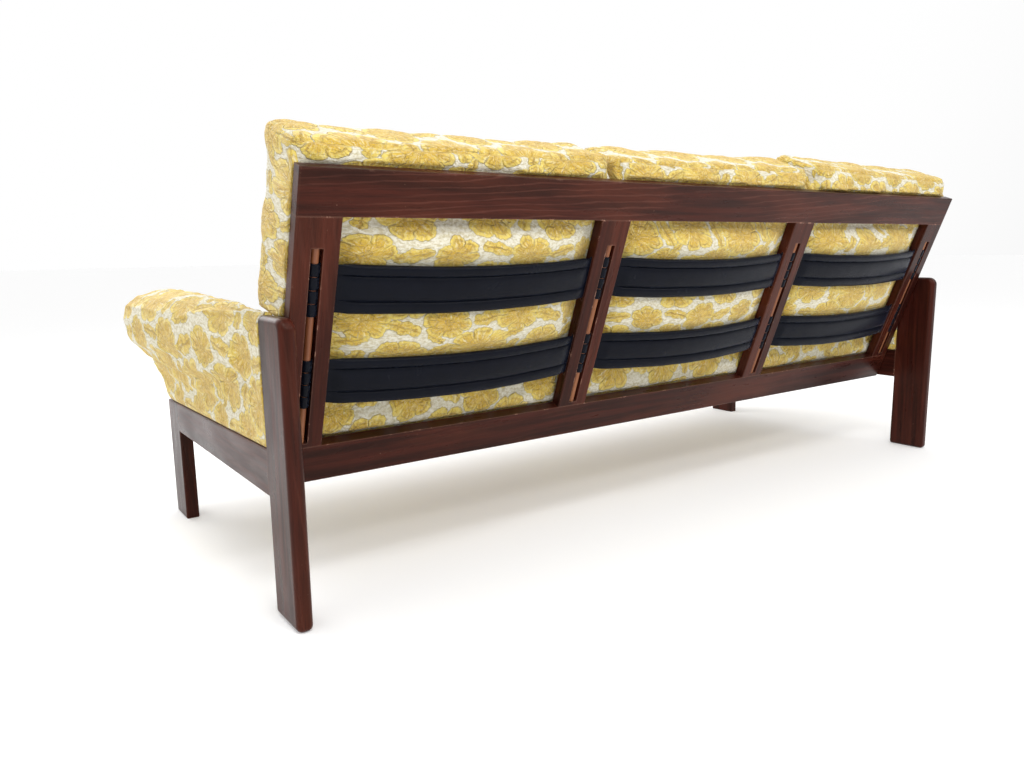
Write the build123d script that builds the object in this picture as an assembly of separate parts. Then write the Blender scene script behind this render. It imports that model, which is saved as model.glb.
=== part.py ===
"""Three-seat sofa: two board side frames, a slatted back frame with padded straps, loose cushions.

Millimetres, +Z up, the sofa faces -Y, and +X is the sitter's left.
While it is modelled, Y is measured from the rear edge of the rear legs. The last step moves
everything so that the origin is at the bottom centre of the whole sofa's box.
"""
from build123d import *
import math
import os

# ---------------------------------------------------------------- side frames
FRAME_W = 1860.0            # over the outer faces of both side frames
BOARD_T = 27.0              # thickness of every side frame board
REAR_LEG_D = 94.0           # depth of the rear leg, front to rear
REAR_LEG_H = 483.0
FRONT_LEG_D = 83.0
SIDE_DEPTH = 757.0          # front edge of the front leg to rear edge of the rear leg
RAIL_BOTTOM = 197.0
RAIL_TOP_FRONT = 258.0      # the side rail rises a little towards the rear
RAIL_TOP_REAR = 274.0
REAR_EDGE_R = 10.0          # the rear leg's rear edge is nearly a bullnose
TOP_CORNER_R = 20.0
FOOT_CORNER_R = 9.0
SMALL_EDGE_R = 3.0

# ---------------------------------------------------------------- back frame
BACK_TILT = 19.93           # degrees from upright, leaning to the rear
BACK_FOOT_Y = -144.2        # lower rear edge of the back frame
BACK_FOOT_Z = 193.4
BACK_L = 530.5              # up the slope
BACK_W = 1799.0
BACK_T = 23.3
BOTTOM_RAIL_H = 70.0
TOP_RAIL_H = 70.7
STILE_W = 71.0
MID_STILE_X = 288.3
BACK_EDGE_R = 2.5

# ---------------------------------------------------------------- straps on the back frame
GROOVE_W = 19.0
GROOVE_D = 17.0
GROOVE_LOW = 78.0           # heights are up the slope, from the frame's lower edge
GROOVE_HIGH = 412.0
DOWEL_R = 6.0
DOWEL_W = 8.0               # depth of the strap dowel's centre line behind the rear face
STRAP_HEIGHTS = {"lower": 185.0, "upper": 344.0}
STRAP_H = 80.0
STRAP_T = 12.0
STRAP_BOW = 24.0            # the straps are pushed to the rear at the middle of each bay
TONGUE_T = 3.0
TONGUE_H = 86.0
LOOP_IN_R = 6.15
LOOP_OUT_R = 8.3
LOOP_COUNT = 4
LOOP_GAP = 1.6
SLOT_CLEARANCE = 0.7

# ---------------------------------------------------------------- seat
SEAT_RAIL_T = 27.0
SEAT_RAIL_TOP = 257.0
SEAT_RAIL_H = 60.0
REAR_RAIL_GAP = 7.0         # between the seat's rear rail and the back frame
CROSS_RAIL_W = 40.0
CROSS_RAIL_H = 32.0
CROSS_RAIL_DROP = 14.0      # the cross rails lie lower, to let the webbing give
WEBBING_W = 50.0
WEBBING_T = 2.5
WEBBING_PER_SEAT = 4
WEBBING_LAP = 20.0

# ---------------------------------------------------------------- cushions
SEAT_CUSHION_W = 588.0
SEAT_CUSHION_TOP = 392.0
SEAT_CUSHION_FRONT = -768.0
BACK_CUSHION_W = 592.0
BACK_CUSHION_T = 131.0
BACK_CUSHION_TOP = 588.0    # up the slope
CUSHION_GAP = 2.0
CUSHION_R = 20.0
LOOSE_GAP = 0.6             # clearance around what lifts off

# ---------------------------------------------------------------- padded arms
ARM_PANEL_T = 18.0
ARM_PANEL_TOP = 468.0
ARM_PANEL_FRONT = -735.0
ARM_TOP_REAR = 493.0
ARM_TOP_FRONT = 508.0
ARM_NOSE_Y = -792.0
ARM_NOSE_SCALE = 0.70
ARM_NOSE_DROP = 0.56        # height of the nose's middle, as a share of the arm's height
ARM_MIDDLE_SHIFT = 20.0     # how far the full front end's middle is outside the board's
ARM_INNER_REAR = 15.5       # half widths from the middle of the board
ARM_OUTER_REAR = 13.5
# distance from the rear edge, fullness from the slim rear end (0) to the full front end (1), scale
ARM_STATIONS = [
    (-REAR_LEG_D, 0.0, 1.0),
    (-300.0, 0.30, 1.0),
    (-520.0, 0.78, 1.0),
    (-712.0, 1.0, 1.0),
    (-SIDE_DEPTH, 0.96, 1.0),
    (ARM_NOSE_Y, 0.9, ARM_NOSE_SCALE),
]
# share of the height, then how much the front end stands out, outwards and inwards
ARM_BULGE = [
    (0.00, 0.0, 0.0),
    (0.26, 12.0, 0.0),
    (0.38, 30.0, 1.0),
    (0.50, 58.0, 2.0),
    (0.62, 72.0, 8.0),
    (0.76, 75.0, 18.0),
    (0.90, 66.0, 17.0),
]
ARM_CROWN = [(0.97, 0.62), (1.00, 0.20)]   # share of the height, share of the full width

# ---------------------------------------------------------------- fixings
PEG_R = 5.0
PEG_L = 60.0
PEG_CLEARANCE = 0.1
PEG_INSET = 16.0            # side frame pegs from the rail's edges
SEAT_PEG_INSET = 18.0       # seat pegs from the seat rails' edges
SMALL_PEG_R = 4.0
SMALL_PEG_L = 36.0
PIN_R = 4.0
PIN_L = 30.0
PIN_HEIGHTS = (35.0, 200.0, 265.0)      # up the back frame's slope
BRACKET_T = 3.0
BRACKET_LEG = 38.0
BRACKET_H = 36.0
BRACKET_LIFT = 12.0         # above the side rail's lower edge
SCREW_R = 2.0
SCREW_L = 16.0
SCREW_HEAD_R = 4.0
SCREW_HEAD_T = 2.4
SCREW_SHARE = 0.6           # place along the bracket's leg, as a share of the leg
SCREW_SPREAD = 10.0         # above and below the bracket's middle

SIDES = {"left": 1, "right": -1}
INNER_X = FRAME_W / 2 - BOARD_T
BOARD_X = FRAME_W / 2 - BOARD_T / 2
END_STILE_X = (BACK_W - STILE_W) / 2
TILT = math.radians(BACK_TILT)
BACK_PLANE = Plane(
    origin=(0, BACK_FOOT_Y, BACK_FOOT_Z),
    x_dir=(1, 0, 0),
    z_dir=(0, -math.cos(TILT), math.sin(TILT)),
)
SEAT_FRONT_RAIL_Y = -SIDE_DEPTH + SEAT_RAIL_T / 2
BACK_FRONT_FOOT_Y = BACK_FOOT_Y - BACK_T * math.cos(TILT)
SEAT_REAR_RAIL_Y = BACK_FRONT_FOOT_Y - REAR_RAIL_GAP - SEAT_RAIL_T / 2
DECK_Z = SEAT_RAIL_TOP + WEBBING_T
BAY_CENTRES = {"left": 1, "centre": 0, "right": -1}


# ---------------------------------------------------------------- helpers
def cuboid(x0, x1, y0, y1, z0, z1):
    """A box between two corners."""
    size = (x1 - x0, y1 - y0, z1 - z0)
    return Pos((x0 + x1) / 2, (y0 + y1) / 2, (z0 + z1) / 2) * Box(*size)


def rod_x(radius, x0, x1, y, z):
    """A round rod along X."""
    rod = Rot(0, 90, 0) * Cylinder(radius, abs(x1 - x0))
    return Pos((x0 + x1) / 2, y, z) * rod


def rod_y(radius, x, y0, y1, z):
    """A round rod along Y."""
    rod = Rot(90, 0, 0) * Cylinder(radius, abs(y1 - y0))
    return Pos(x, (y0 + y1) / 2, z) * rod


def side_prism(points, x0, x1):
    """A solid with an outline in Y and Z, from x0 to x1."""
    wire = Polyline(*[(x0, y, z) for y, z in points], close=True)
    return extrude(make_face(wire), amount=x1 - x0, dir=(1, 0, 0))


def rail_top(y):
    """Height of the side rail's sloping top edge."""
    share = (y + SIDE_DEPTH) / (SIDE_DEPTH - REAR_LEG_D)
    return RAIL_TOP_FRONT + share * (RAIL_TOP_REAR - RAIL_TOP_FRONT)


def back_front_y(z, depth=BACK_T):
    """Y of the plane that lies `depth` in front of the back frame's rear face, at height z."""
    return BACK_FOOT_Y + (z - BACK_FOOT_Z) * math.tan(TILT) - depth / math.cos(TILT)


def slope_point(v, w):
    """(y, z) of a point v up the slope and w in front of the back frame's rear face."""
    y = BACK_FOOT_Y + v * math.sin(TILT) - w * math.cos(TILT)
    z = BACK_FOOT_Z + v * math.cos(TILT) + w * math.sin(TILT)
    return y, z


def on_back(shape):
    """Place a shape drawn in the back frame's own axes: X, up the slope, and forwards."""
    return BACK_PLANE.location * shape


def cut_all(shape, tools):
    """Take each tool away from the shape."""
    for tool in tools:
        shape = shape - tool
    return shape


def group(shapes):
    """Several separate solids as one node."""
    return Compound(list(shapes))


# ---------------------------------------------------------------- side frames
def side_board():
    """The whole side frame as one board, before it is parted at its joints."""
    leg_front = -SIDE_DEPTH
    leg_back = leg_front + FRONT_LEG_D
    outline = [
        (leg_front, 0), (leg_front, RAIL_TOP_FRONT), (-REAR_LEG_D, RAIL_TOP_REAR),
        (-REAR_LEG_D, REAR_LEG_H), (0, REAR_LEG_H), (0, 0), (-REAR_LEG_D, 0),
        (-REAR_LEG_D, RAIL_BOTTOM), (leg_back, RAIL_BOTTOM), (leg_back, 0),
    ]
    board = side_prism(outline, INNER_X, FRAME_W / 2)
    board = fillet(rear_corner(board, REAR_LEG_H), TOP_CORNER_R)
    board = fillet(rear_corner(board, 0), FOOT_CORNER_R)
    rear = [edge for edge in side_rims(board) if edge.center().Y > -REAR_LEG_D + 2]
    board = fillet(rear, REAR_EDGE_R)
    sharp = [edge for edge in side_rims(board) if edge.center().Y < -REAR_LEG_D + 1]
    return fillet(sharp, SMALL_EDGE_R)


def rear_corner(board, height):
    """The rear leg's corner edge across the board at a height."""
    cross = board.edges().filter_by(Axis.X).filter_by_position(Axis.Y, -1, 1)
    return cross.filter_by_position(Axis.Z, height - 1, height + 1)


def side_rims(board):
    """The edges around the board's two big faces."""
    return [edge for face in board.faces().filter_by(Axis.X) for edge in face.edges()]


def side_parts():
    """Front leg, side rail and rear leg of the left side frame, still without peg holes."""
    board = side_board()
    leg_back = -SIDE_DEPTH + FRONT_LEG_D
    reach = 2 * SIDE_DEPTH
    front = board & cuboid(0, FRAME_W, -reach, leg_back, -1, reach)
    rail = board & cuboid(0, FRAME_W, leg_back, -REAR_LEG_D, -1, reach)
    rear = board & cuboid(0, FRAME_W, -REAR_LEG_D, reach, -1, reach)
    return front, rail, rear


def peg_places():
    """(y, z) of the pegs that hold one side frame together."""
    low = RAIL_BOTTOM + PEG_INSET
    high = RAIL_TOP_FRONT - PEG_INSET
    joints = (-SIDE_DEPTH + FRONT_LEG_D, -REAR_LEG_D)
    return [(y, z) for y in joints for z in (low, high)]


def side_pegs(grow=0.0):
    """The pegs between legs and rail, or their holes when grown."""
    half = PEG_L / 2 + grow
    return [rod_y(PEG_R + grow, BOARD_X, y - half, y + half, z) for y, z in peg_places()]


def seat_pegs(grow=0.0):
    """The pegs from the side frame into the ends of the seat's front and rear rails."""
    rods = []
    for y in (SEAT_FRONT_RAIL_Y, SEAT_REAR_RAIL_Y):
        for z in (SEAT_RAIL_TOP - SEAT_PEG_INSET, SEAT_RAIL_TOP - SEAT_RAIL_H + SEAT_PEG_INSET):
            x0 = INNER_X - SMALL_PEG_L / 2 - grow
            x1 = INNER_X + SMALL_PEG_L / 2 + grow
            rods.append(rod_x(SMALL_PEG_R + grow, x0, x1, y, z))
    return rods


def back_pins(grow=0.0):
    """Steel pins from the rear leg and the side rail into the back frame's end."""
    half = PIN_L / 2 + grow
    places = [slope_point(v, BACK_T / 2) for v in PIN_HEIGHTS]
    return [rod_x(PIN_R + grow, INNER_X - half, INNER_X + half, y, z) for y, z in places]


# ---------------------------------------------------------------- back frame
def strap_slots(x, sides):
    """Slots that lead the straps from a stile's side faces into its groove."""
    half = TONGUE_T / 2 + SLOT_CLEARANCE
    slots = []
    for v in STRAP_HEIGHTS.values():
        for side in sides:
            x0, x1 = sorted((x, x + side * (STILE_W / 2 + 1)))
            reach = TONGUE_H / 2 + SLOT_CLEARANCE
            slots.append(cuboid(x0, x1, v - reach, v + reach, DOWEL_W - half, DOWEL_W + half))
    return slots


def stile(x, sides):
    """An upright of the back frame, grooved for its dowel, in the back frame's axes."""
    low, high = BOTTOM_RAIL_H, BACK_L - TOP_RAIL_H
    body = cuboid(x - STILE_W / 2, x + STILE_W / 2, low, high, 0, BACK_T)
    body = fillet(body.edges().filter_by(Axis.Y), BACK_EDGE_R)
    groove = cuboid(x - GROOVE_W / 2, x + GROOVE_W / 2, GROOVE_LOW, GROOVE_HIGH, -1, GROOVE_D)
    return cut_all(body, [groove] + strap_slots(x, sides))


def back_rail(low, high, rounded):
    """A full-width rail of the back frame, with its outer edge `rounded` (a height)."""
    body = cuboid(-BACK_W / 2, BACK_W / 2, low, high, 0, BACK_T)
    outer = body.edges().filter_by(Axis.X).filter_by_position(Axis.Y, rounded - 1, rounded + 1)
    ends = body.edges().filter_by(Axis.Y)
    return fillet(list(outer) + list(ends), BACK_EDGE_R)


def back_pegs(grow=0.0):
    """The pegs between rails and uprights, in the back frame's axes."""
    rods = []
    half = SMALL_PEG_L / 2 + grow
    shift = STILE_W / 4
    for x in (-END_STILE_X, -MID_STILE_X, MID_STILE_X, END_STILE_X):
        for v in (BOTTOM_RAIL_H, BACK_L - TOP_RAIL_H):
            for dx in (-shift, shift):
                rods.append(rod_y(SMALL_PEG_R + grow, x + dx, v - half, v + half, BACK_T / 2 + 1))
    return rods


def strap_dowel(x):
    """The dowel that the straps' loops are threaded on."""
    return rod_y(DOWEL_R, x, GROOVE_LOW, GROOVE_HIGH, DOWEL_W)


# ---------------------------------------------------------------- straps
def loop_spans(v, picks):
    """Heights of the loops of one strap end, as (low, high) pairs."""
    pitch = TONGUE_H / LOOP_COUNT
    start = v - TONGUE_H / 2 + LOOP_GAP / 2
    return [(start + i * pitch, start + (i + 1) * pitch - LOOP_GAP) for i in picks]


def strap_end(x, side, v, picks):
    """The tongue and loops at one end: `side` points from the dowel into the bay."""
    edge = x + side * (GROOVE_W / 2 + 1)
    bay = x + side * (STILE_W / 2 + STRAP_T)
    x0, x1 = sorted((edge, bay))
    half = TONGUE_T / 2
    shape = cuboid(x0, x1, v - TONGUE_H / 2, v + TONGUE_H / 2, DOWEL_W - half, DOWEL_W + half)
    for low, high in loop_spans(v, picks):
        neck0, neck1 = sorted((x + side * (LOOP_IN_R + 0.5), edge + side))
        shape = shape + cuboid(neck0, neck1, low, high, DOWEL_W - half, DOWEL_W + half)
        ring = rod_y(LOOP_OUT_R, x, low, high, DOWEL_W) - rod_y(LOOP_IN_R, x, low, high, DOWEL_W)
        shape = shape + ring
    return shape


def strap_band(x0, x1, v):
    """The padded band across a bay, bowed to the rear."""
    low = v - STRAP_H / 2
    crest = DOWEL_W - STRAP_BOW
    edges, ends = [], {x0: [], x1: []}
    for side in (-STRAP_T / 2, STRAP_T / 2):
        start, end = (x0, low, DOWEL_W + side), (x1, low, DOWEL_W + side)
        edges.append(ThreePointArc(start, ((x0 + x1) / 2, low, crest + side), end))
        ends[x0].append(start)
        ends[x1].append(end)
    edges += [Line(*points) for points in ends.values()]
    return extrude(make_face(edges), amount=STRAP_H, dir=(0, 1, 0))


def strap(bay, v):
    """One whole strap. On a shared dowel, the loops of two straps take turns."""
    uprights = [-END_STILE_X, -MID_STILE_X, MID_STILE_X, END_STILE_X]
    low_x, high_x = uprights[bay + 1], uprights[bay + 2]
    every = range(LOOP_COUNT)
    low_picks = every if bay == -1 else range(1, LOOP_COUNT, 2)
    high_picks = every if bay == 1 else range(0, LOOP_COUNT, 2)
    gap = STILE_W / 2 + 3
    band = strap_band(low_x + gap, high_x - gap, v)
    return band + strap_end(low_x, 1, v, low_picks) + strap_end(high_x, -1, v, high_picks)


# ---------------------------------------------------------------- seat
def seat_rail(y):
    """A rail across the sofa under the cushions."""
    z0, z1 = SEAT_RAIL_TOP - SEAT_RAIL_H, SEAT_RAIL_TOP
    rail = cuboid(-INNER_X, INNER_X, y - SEAT_RAIL_T / 2, y + SEAT_RAIL_T / 2, z0, z1)
    return fillet(rail.edges().filter_by(Axis.X), SMALL_EDGE_R)


def cross_rail(x):
    """A rail from the seat's front rail to its rear rail, under a joint of two cushions."""
    y0 = SEAT_FRONT_RAIL_Y + SEAT_RAIL_T / 2
    y1 = SEAT_REAR_RAIL_Y - SEAT_RAIL_T / 2
    z1 = SEAT_RAIL_TOP - CROSS_RAIL_DROP
    return cuboid(x - CROSS_RAIL_W / 2, x + CROSS_RAIL_W / 2, y0, y1, z1 - CROSS_RAIL_H, z1)


def seat_webbing(bay):
    """The elastic bands under one seat cushion, from the front rail to the rear rail."""
    pitch = SEAT_CUSHION_W / WEBBING_PER_SEAT
    centre = bay * (SEAT_CUSHION_W + CUSHION_GAP)
    y0 = SEAT_FRONT_RAIL_Y - SEAT_RAIL_T / 2 + SMALL_EDGE_R
    y1 = SEAT_REAR_RAIL_Y - SEAT_RAIL_T / 2 + WEBBING_LAP
    bands = []
    for i in range(WEBBING_PER_SEAT):
        x = centre + (i - (WEBBING_PER_SEAT - 1) / 2) * pitch
        bands.append(cuboid(x - WEBBING_W / 2, x + WEBBING_W / 2, y0, y1, SEAT_RAIL_TOP, DECK_Z))
    return group(bands)


# ---------------------------------------------------------------- cushions
def seat_cushion(bay):
    """A loose seat cushion. Its rear follows the lean of the back frame."""
    x = bay * (SEAT_CUSHION_W + CUSHION_GAP)
    low, high = DECK_Z + LOOSE_GAP, SEAT_CUSHION_TOP
    depth = BACK_T + 2 * LOOSE_GAP
    outline = [
        (SEAT_CUSHION_FRONT, low), (back_front_y(low, depth), low),
        (back_front_y(high, depth), high), (SEAT_CUSHION_FRONT, high),
    ]
    half = SEAT_CUSHION_W / 2
    return fillet(side_prism(outline, x - half, x + half).edges(), CUSHION_R)


def back_cushion(bay):
    """A loose back cushion, flat underneath where it stands on the seat cushion."""
    x = bay * (BACK_CUSHION_W + CUSHION_GAP)
    low = SEAT_CUSHION_TOP + LOOSE_GAP
    near, far = BACK_T + LOOSE_GAP, BACK_T + LOOSE_GAP + BACK_CUSHION_T
    outline = [
        (back_front_y(low, near), low), (back_front_y(low, far), low),
        slope_point(BACK_CUSHION_TOP, far), slope_point(BACK_CUSHION_TOP, near),
    ]
    half = BACK_CUSHION_W / 2
    return fillet(side_prism(outline, x - half, x + half).edges(), CUSHION_R)


# ---------------------------------------------------------------- arms
def arm_outline(y, bulge, scale=1.0):
    """The arm pad's section at y: bulge 0 is the slim rear end and 1 the full front end."""
    low = rail_top(y)
    share = (y + REAR_LEG_D) / (REAR_LEG_D - SIDE_DEPTH)
    high = ARM_TOP_REAR + min(share, 1.0) * (ARM_TOP_FRONT - ARM_TOP_REAR)
    outer = [(h, ARM_OUTER_REAR + bulge * out) for h, out, _ in ARM_BULGE]
    inner = [(h, ARM_INNER_REAR + bulge * into) for h, _, into in ARM_BULGE]
    outer += [(h, outer[-1][1] * width) for h, width in ARM_CROWN]
    inner += [(h, inner[-1][1] * width) for h, width in ARM_CROWN]
    ring = [(BOARD_X + w, low + h * (high - low)) for h, w in outer]
    ring += [(BOARD_X - w, low + h * (high - low)) for h, w in reversed(inner)]
    mid_x = BOARD_X + bulge * ARM_MIDDLE_SHIFT
    mid_z = low + ARM_NOSE_DROP * (high - low)
    return [(mid_x + (x - mid_x) * scale, y, mid_z + (z - mid_z) * scale) for x, z in ring]


def arm_panel():
    """The board inside the arm."""
    outline = [
        (ARM_PANEL_FRONT, rail_top(ARM_PANEL_FRONT)), (-REAR_LEG_D, RAIL_TOP_REAR),
        (-REAR_LEG_D, ARM_PANEL_TOP), (ARM_PANEL_FRONT, ARM_PANEL_TOP),
    ]
    return side_prism(outline, BOARD_X - ARM_PANEL_T / 2, BOARD_X + ARM_PANEL_T / 2)


def arm_pad():
    """The upholstery around the arm panel, wide at the front and slim at the rear leg."""
    faces = [make_face(Polyline(*arm_outline(*station), close=True)) for station in ARM_STATIONS]
    return loft(faces, ruled=True) - arm_panel()


# ---------------------------------------------------------------- brackets and screws
def bracket(y_face, facing, z):
    """A steel angle in the corner of the side frame and a rail; facing is +1 or -1 along Y."""
    thin = sorted((y_face, y_face + facing * BRACKET_T))
    long = sorted((y_face, y_face + facing * BRACKET_LEG))
    on_rail = cuboid(INNER_X - BRACKET_LEG, INNER_X, *thin, z, z + BRACKET_H)
    on_side = cuboid(INNER_X - BRACKET_T, INNER_X, *long, z, z + BRACKET_H)
    return on_rail + on_side


def bracket_screws(y_face, facing, z):
    """Two screws in each leg of a bracket."""
    middle = z + BRACKET_H / 2
    offset = BRACKET_LEG * SCREW_SHARE
    x, y = INNER_X - offset, y_face + facing * offset
    rail_y, side_x = y_face + facing * BRACKET_T, INNER_X - BRACKET_T
    screws = []
    for height in (middle - SCREW_SPREAD, middle + SCREW_SPREAD):
        shank = rod_y(SCREW_R, x, *sorted((rail_y, rail_y - facing * SCREW_L)), height)
        head = rod_y(SCREW_HEAD_R, x, *sorted((rail_y, rail_y + facing * SCREW_HEAD_T)), height)
        screws.append(shank + head)
        shank = rod_x(SCREW_R, side_x, side_x + SCREW_L, y, height)
        head = rod_x(SCREW_HEAD_R, side_x - SCREW_HEAD_T, side_x, y, height)
        screws.append(shank + head)
    return screws


FRONT_BRACKET = (SEAT_FRONT_RAIL_Y + SEAT_RAIL_T / 2, 1, RAIL_BOTTOM + BRACKET_LIFT)
REAR_BRACKET = (SEAT_REAR_RAIL_Y - SEAT_RAIL_T / 2, -1, RAIL_BOTTOM + BRACKET_LIFT)


def mirrored(shape, side):
    """The left-hand shape itself, or its mirror image for the right."""
    return shape if side == 1 else mirror(shape, about=Plane.YZ)


def both_ends(shapes):
    """The given shapes at the left end, and their mirror images at the right end."""
    shapes = list(shapes)
    return shapes + [mirror(shape, about=Plane.YZ) for shape in shapes]


# ---------------------------------------------------------------- assembly
def build():
    """Every node of the sofa, by name."""
    nodes = {}
    peg_holes = side_pegs(PEG_CLEARANCE)
    seat_holes = seat_pegs(PEG_CLEARANCE)
    pin_holes = back_pins(PEG_CLEARANCE)
    front_screws = bracket_screws(*FRONT_BRACKET)
    rear_screws = bracket_screws(*REAR_BRACKET)
    screw_holes = front_screws + rear_screws

    front, rail, rear = side_parts()
    front = cut_all(front, peg_holes[:2] + seat_holes[:2] + screw_holes)
    rail = cut_all(rail, peg_holes + seat_holes + pin_holes[:1] + screw_holes)
    rear = cut_all(rear, peg_holes[2:] + pin_holes[1:])
    for name, side in SIDES.items():
        nodes["front_leg_" + name] = mirrored(front, side)
        nodes["side_rail_" + name] = mirrored(rail, side)
        nodes["rear_leg_" + name] = mirrored(rear, side)
        nodes["arm_panel_" + name] = mirrored(arm_panel(), side)
        nodes["arm_pad_" + name] = mirrored(arm_pad(), side)
        nodes["side_frame_pegs_" + name] = mirrored(group(side_pegs()), side)

    front_tools = both_ends(seat_holes + front_screws)
    rear_tools = both_ends(seat_holes + rear_screws)
    nodes["seat_front_rail"] = cut_all(seat_rail(SEAT_FRONT_RAIL_Y), front_tools)
    nodes["seat_rear_rail"] = cut_all(seat_rail(SEAT_REAR_RAIL_Y), rear_tools)
    for name, side in SIDES.items():
        nodes["seat_cross_rail_" + name] = cross_rail(side * (SEAT_CUSHION_W + CUSHION_GAP) / 2)
    nodes["seat_rail_pegs"] = group(both_ends(seat_pegs()))
    brackets = [cut_all(bracket(*place), screw_holes) for place in (FRONT_BRACKET, REAR_BRACKET)]
    nodes["corner_brackets"] = group(both_ends(brackets))
    nodes["bracket_screws"] = group(both_ends(screw_holes))

    peg_tools = back_pegs(PEG_CLEARANCE)
    back_ends = both_ends(pin_holes)
    bottom = cut_all(back_rail(0, BOTTOM_RAIL_H, 0), peg_tools)
    top = cut_all(back_rail(BACK_L - TOP_RAIL_H, BACK_L, BACK_L), peg_tools)
    nodes["back_bottom_rail"] = cut_all(on_back(bottom), back_ends)
    nodes["back_top_rail"] = on_back(top)
    for name, side in SIDES.items():
        end = cut_all(stile(side * END_STILE_X, [-side]), peg_tools)
        nodes["back_end_stile_" + name] = cut_all(on_back(end), back_ends)
        middle = cut_all(stile(side * MID_STILE_X, [-1, 1]), peg_tools)
        nodes["back_middle_stile_" + name] = on_back(middle)
        nodes["strap_dowel_end_" + name] = on_back(strap_dowel(side * END_STILE_X))
        nodes["strap_dowel_middle_" + name] = on_back(strap_dowel(side * MID_STILE_X))
    nodes["back_frame_pegs"] = on_back(group(back_pegs()))
    nodes["back_locating_pins"] = group(both_ends(back_pins()))

    for bay_name, bay in BAY_CENTRES.items():
        for row, height in STRAP_HEIGHTS.items():
            nodes["back_strap_" + row + "_" + bay_name] = on_back(strap(bay, height))
        nodes["seat_webbing_" + bay_name] = seat_webbing(bay)
        nodes["seat_cushion_" + bay_name] = seat_cushion(bay)
        nodes["back_cushion_" + bay_name] = back_cushion(bay)
    return nodes


def main():
    """Centre the sofa over the origin and write one STEP for each node."""
    nodes = build()
    boxes = [shape.bounding_box() for shape in nodes.values()]
    front = min(box.min.Y for box in boxes)
    rear = max(box.max.Y for box in boxes)
    shift = -(front + rear) / 2
    print("rear edge of the rear legs is at y =", round(shift, 3))
    os.makedirs("parts", exist_ok=True)
    for name, shape in nodes.items():
        export_step(Pos(0, shift, 0) * shape, "parts/" + name + ".step")


main()
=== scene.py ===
"""Looks of the sofa: stained wood, brocade cushions and arms, padded leatherette straps.

Blender works in metres, in the CAD model's frame: +Z up, the sofa faces -Y, +X is the sitter's left.
"""
import math

import bpy
import numpy as np
from mathutils import Matrix, Vector, noise


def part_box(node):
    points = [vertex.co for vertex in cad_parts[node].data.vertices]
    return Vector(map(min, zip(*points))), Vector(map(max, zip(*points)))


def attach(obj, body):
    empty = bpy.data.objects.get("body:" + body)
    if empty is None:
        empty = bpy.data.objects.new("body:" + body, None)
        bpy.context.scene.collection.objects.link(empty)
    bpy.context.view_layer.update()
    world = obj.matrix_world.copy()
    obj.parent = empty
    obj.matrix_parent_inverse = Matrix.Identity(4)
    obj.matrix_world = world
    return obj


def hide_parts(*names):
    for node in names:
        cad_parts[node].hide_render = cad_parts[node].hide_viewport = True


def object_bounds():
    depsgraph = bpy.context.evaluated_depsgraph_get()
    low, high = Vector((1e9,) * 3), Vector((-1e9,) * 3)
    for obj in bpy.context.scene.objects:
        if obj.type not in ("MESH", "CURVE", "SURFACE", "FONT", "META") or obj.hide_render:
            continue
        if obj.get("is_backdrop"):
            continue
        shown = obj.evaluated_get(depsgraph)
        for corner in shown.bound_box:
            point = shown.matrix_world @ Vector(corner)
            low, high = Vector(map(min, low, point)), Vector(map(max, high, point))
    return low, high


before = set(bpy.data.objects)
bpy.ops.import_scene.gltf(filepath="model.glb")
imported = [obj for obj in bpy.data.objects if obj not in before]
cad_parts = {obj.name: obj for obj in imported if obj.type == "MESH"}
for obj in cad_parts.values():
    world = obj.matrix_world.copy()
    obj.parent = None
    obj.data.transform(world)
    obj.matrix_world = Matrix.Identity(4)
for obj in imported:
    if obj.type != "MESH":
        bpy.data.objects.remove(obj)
CAD_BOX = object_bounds()

# ---- places taken from the frame
REAR_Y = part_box("rear_leg_left")[1].y           # rear edge of the rear legs
LEG_FRONT_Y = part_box("rear_leg_left")[0].y      # front edge of the rear legs
SIDE_FRONT_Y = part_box("front_leg_left")[0].y
BOARD_OUT_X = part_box("rear_leg_left")[1].x
BOARD_IN_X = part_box("rear_leg_left")[0].x
BOARD_X = (BOARD_OUT_X + BOARD_IN_X) / 2
RAIL_TOP_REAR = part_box("side_rail_left")[1].z
RAIL_TOP_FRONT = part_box("front_leg_left")[1].z - 0.002
DECK_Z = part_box("seat_webbing_centre")[1].z

# ---- the back frame's own axes
BACK_TILT = math.radians(19.93)
BACK_FOOT = Vector((0.0, REAR_Y - 0.1442, 0.1934))
BACK_T = 0.0233
BACK_L = 0.5305
BOTTOM_RAIL_H = 0.070
TOP_RAIL_H = 0.0707
END_STILE_X = (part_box("back_end_stile_left")[0].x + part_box("back_end_stile_left")[1].x) / 2
MID_STILE_X = (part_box("back_middle_stile_left")[0].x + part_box("back_middle_stile_left")[1].x) / 2
STILE_W = 0.071

# ---- straps
DOWEL_W = 0.008
STRAP_HEIGHTS = {"lower": 0.187, "upper": 0.346}
STRAP_H = 0.081
STRAP_BOW = 0.024
STRAP_T = 0.0145
LOOP_R = 0.0084
TONGUE_H = 0.086
LOOP_COUNT = 4

SIDES = {"left": 1, "right": -1}
BAYS = {"left": 1, "centre": 0, "right": -1}


def back_points(u, v, w):
    """Points u across, v up the slope and w in front of the back frame's rear face."""
    s, c = math.sin(BACK_TILT), math.cos(BACK_TILT)
    return np.stack([u, BACK_FOOT.y + v * s - w * c, BACK_FOOT.z + v * c + w * s], axis=-1)


def back_point(u, v, w):
    """The same for one point."""
    return Vector(back_points(u, v, w))


def back_axes(points):
    """u, v and w of an array of points."""
    s, c = math.sin(BACK_TILT), math.cos(BACK_TILT)
    dy, dz = points[:, 1] - BACK_FOOT.y, points[:, 2] - BACK_FOOT.z
    return points[:, 0], dy * s + dz * c, -dy * c + dz * s


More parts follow.
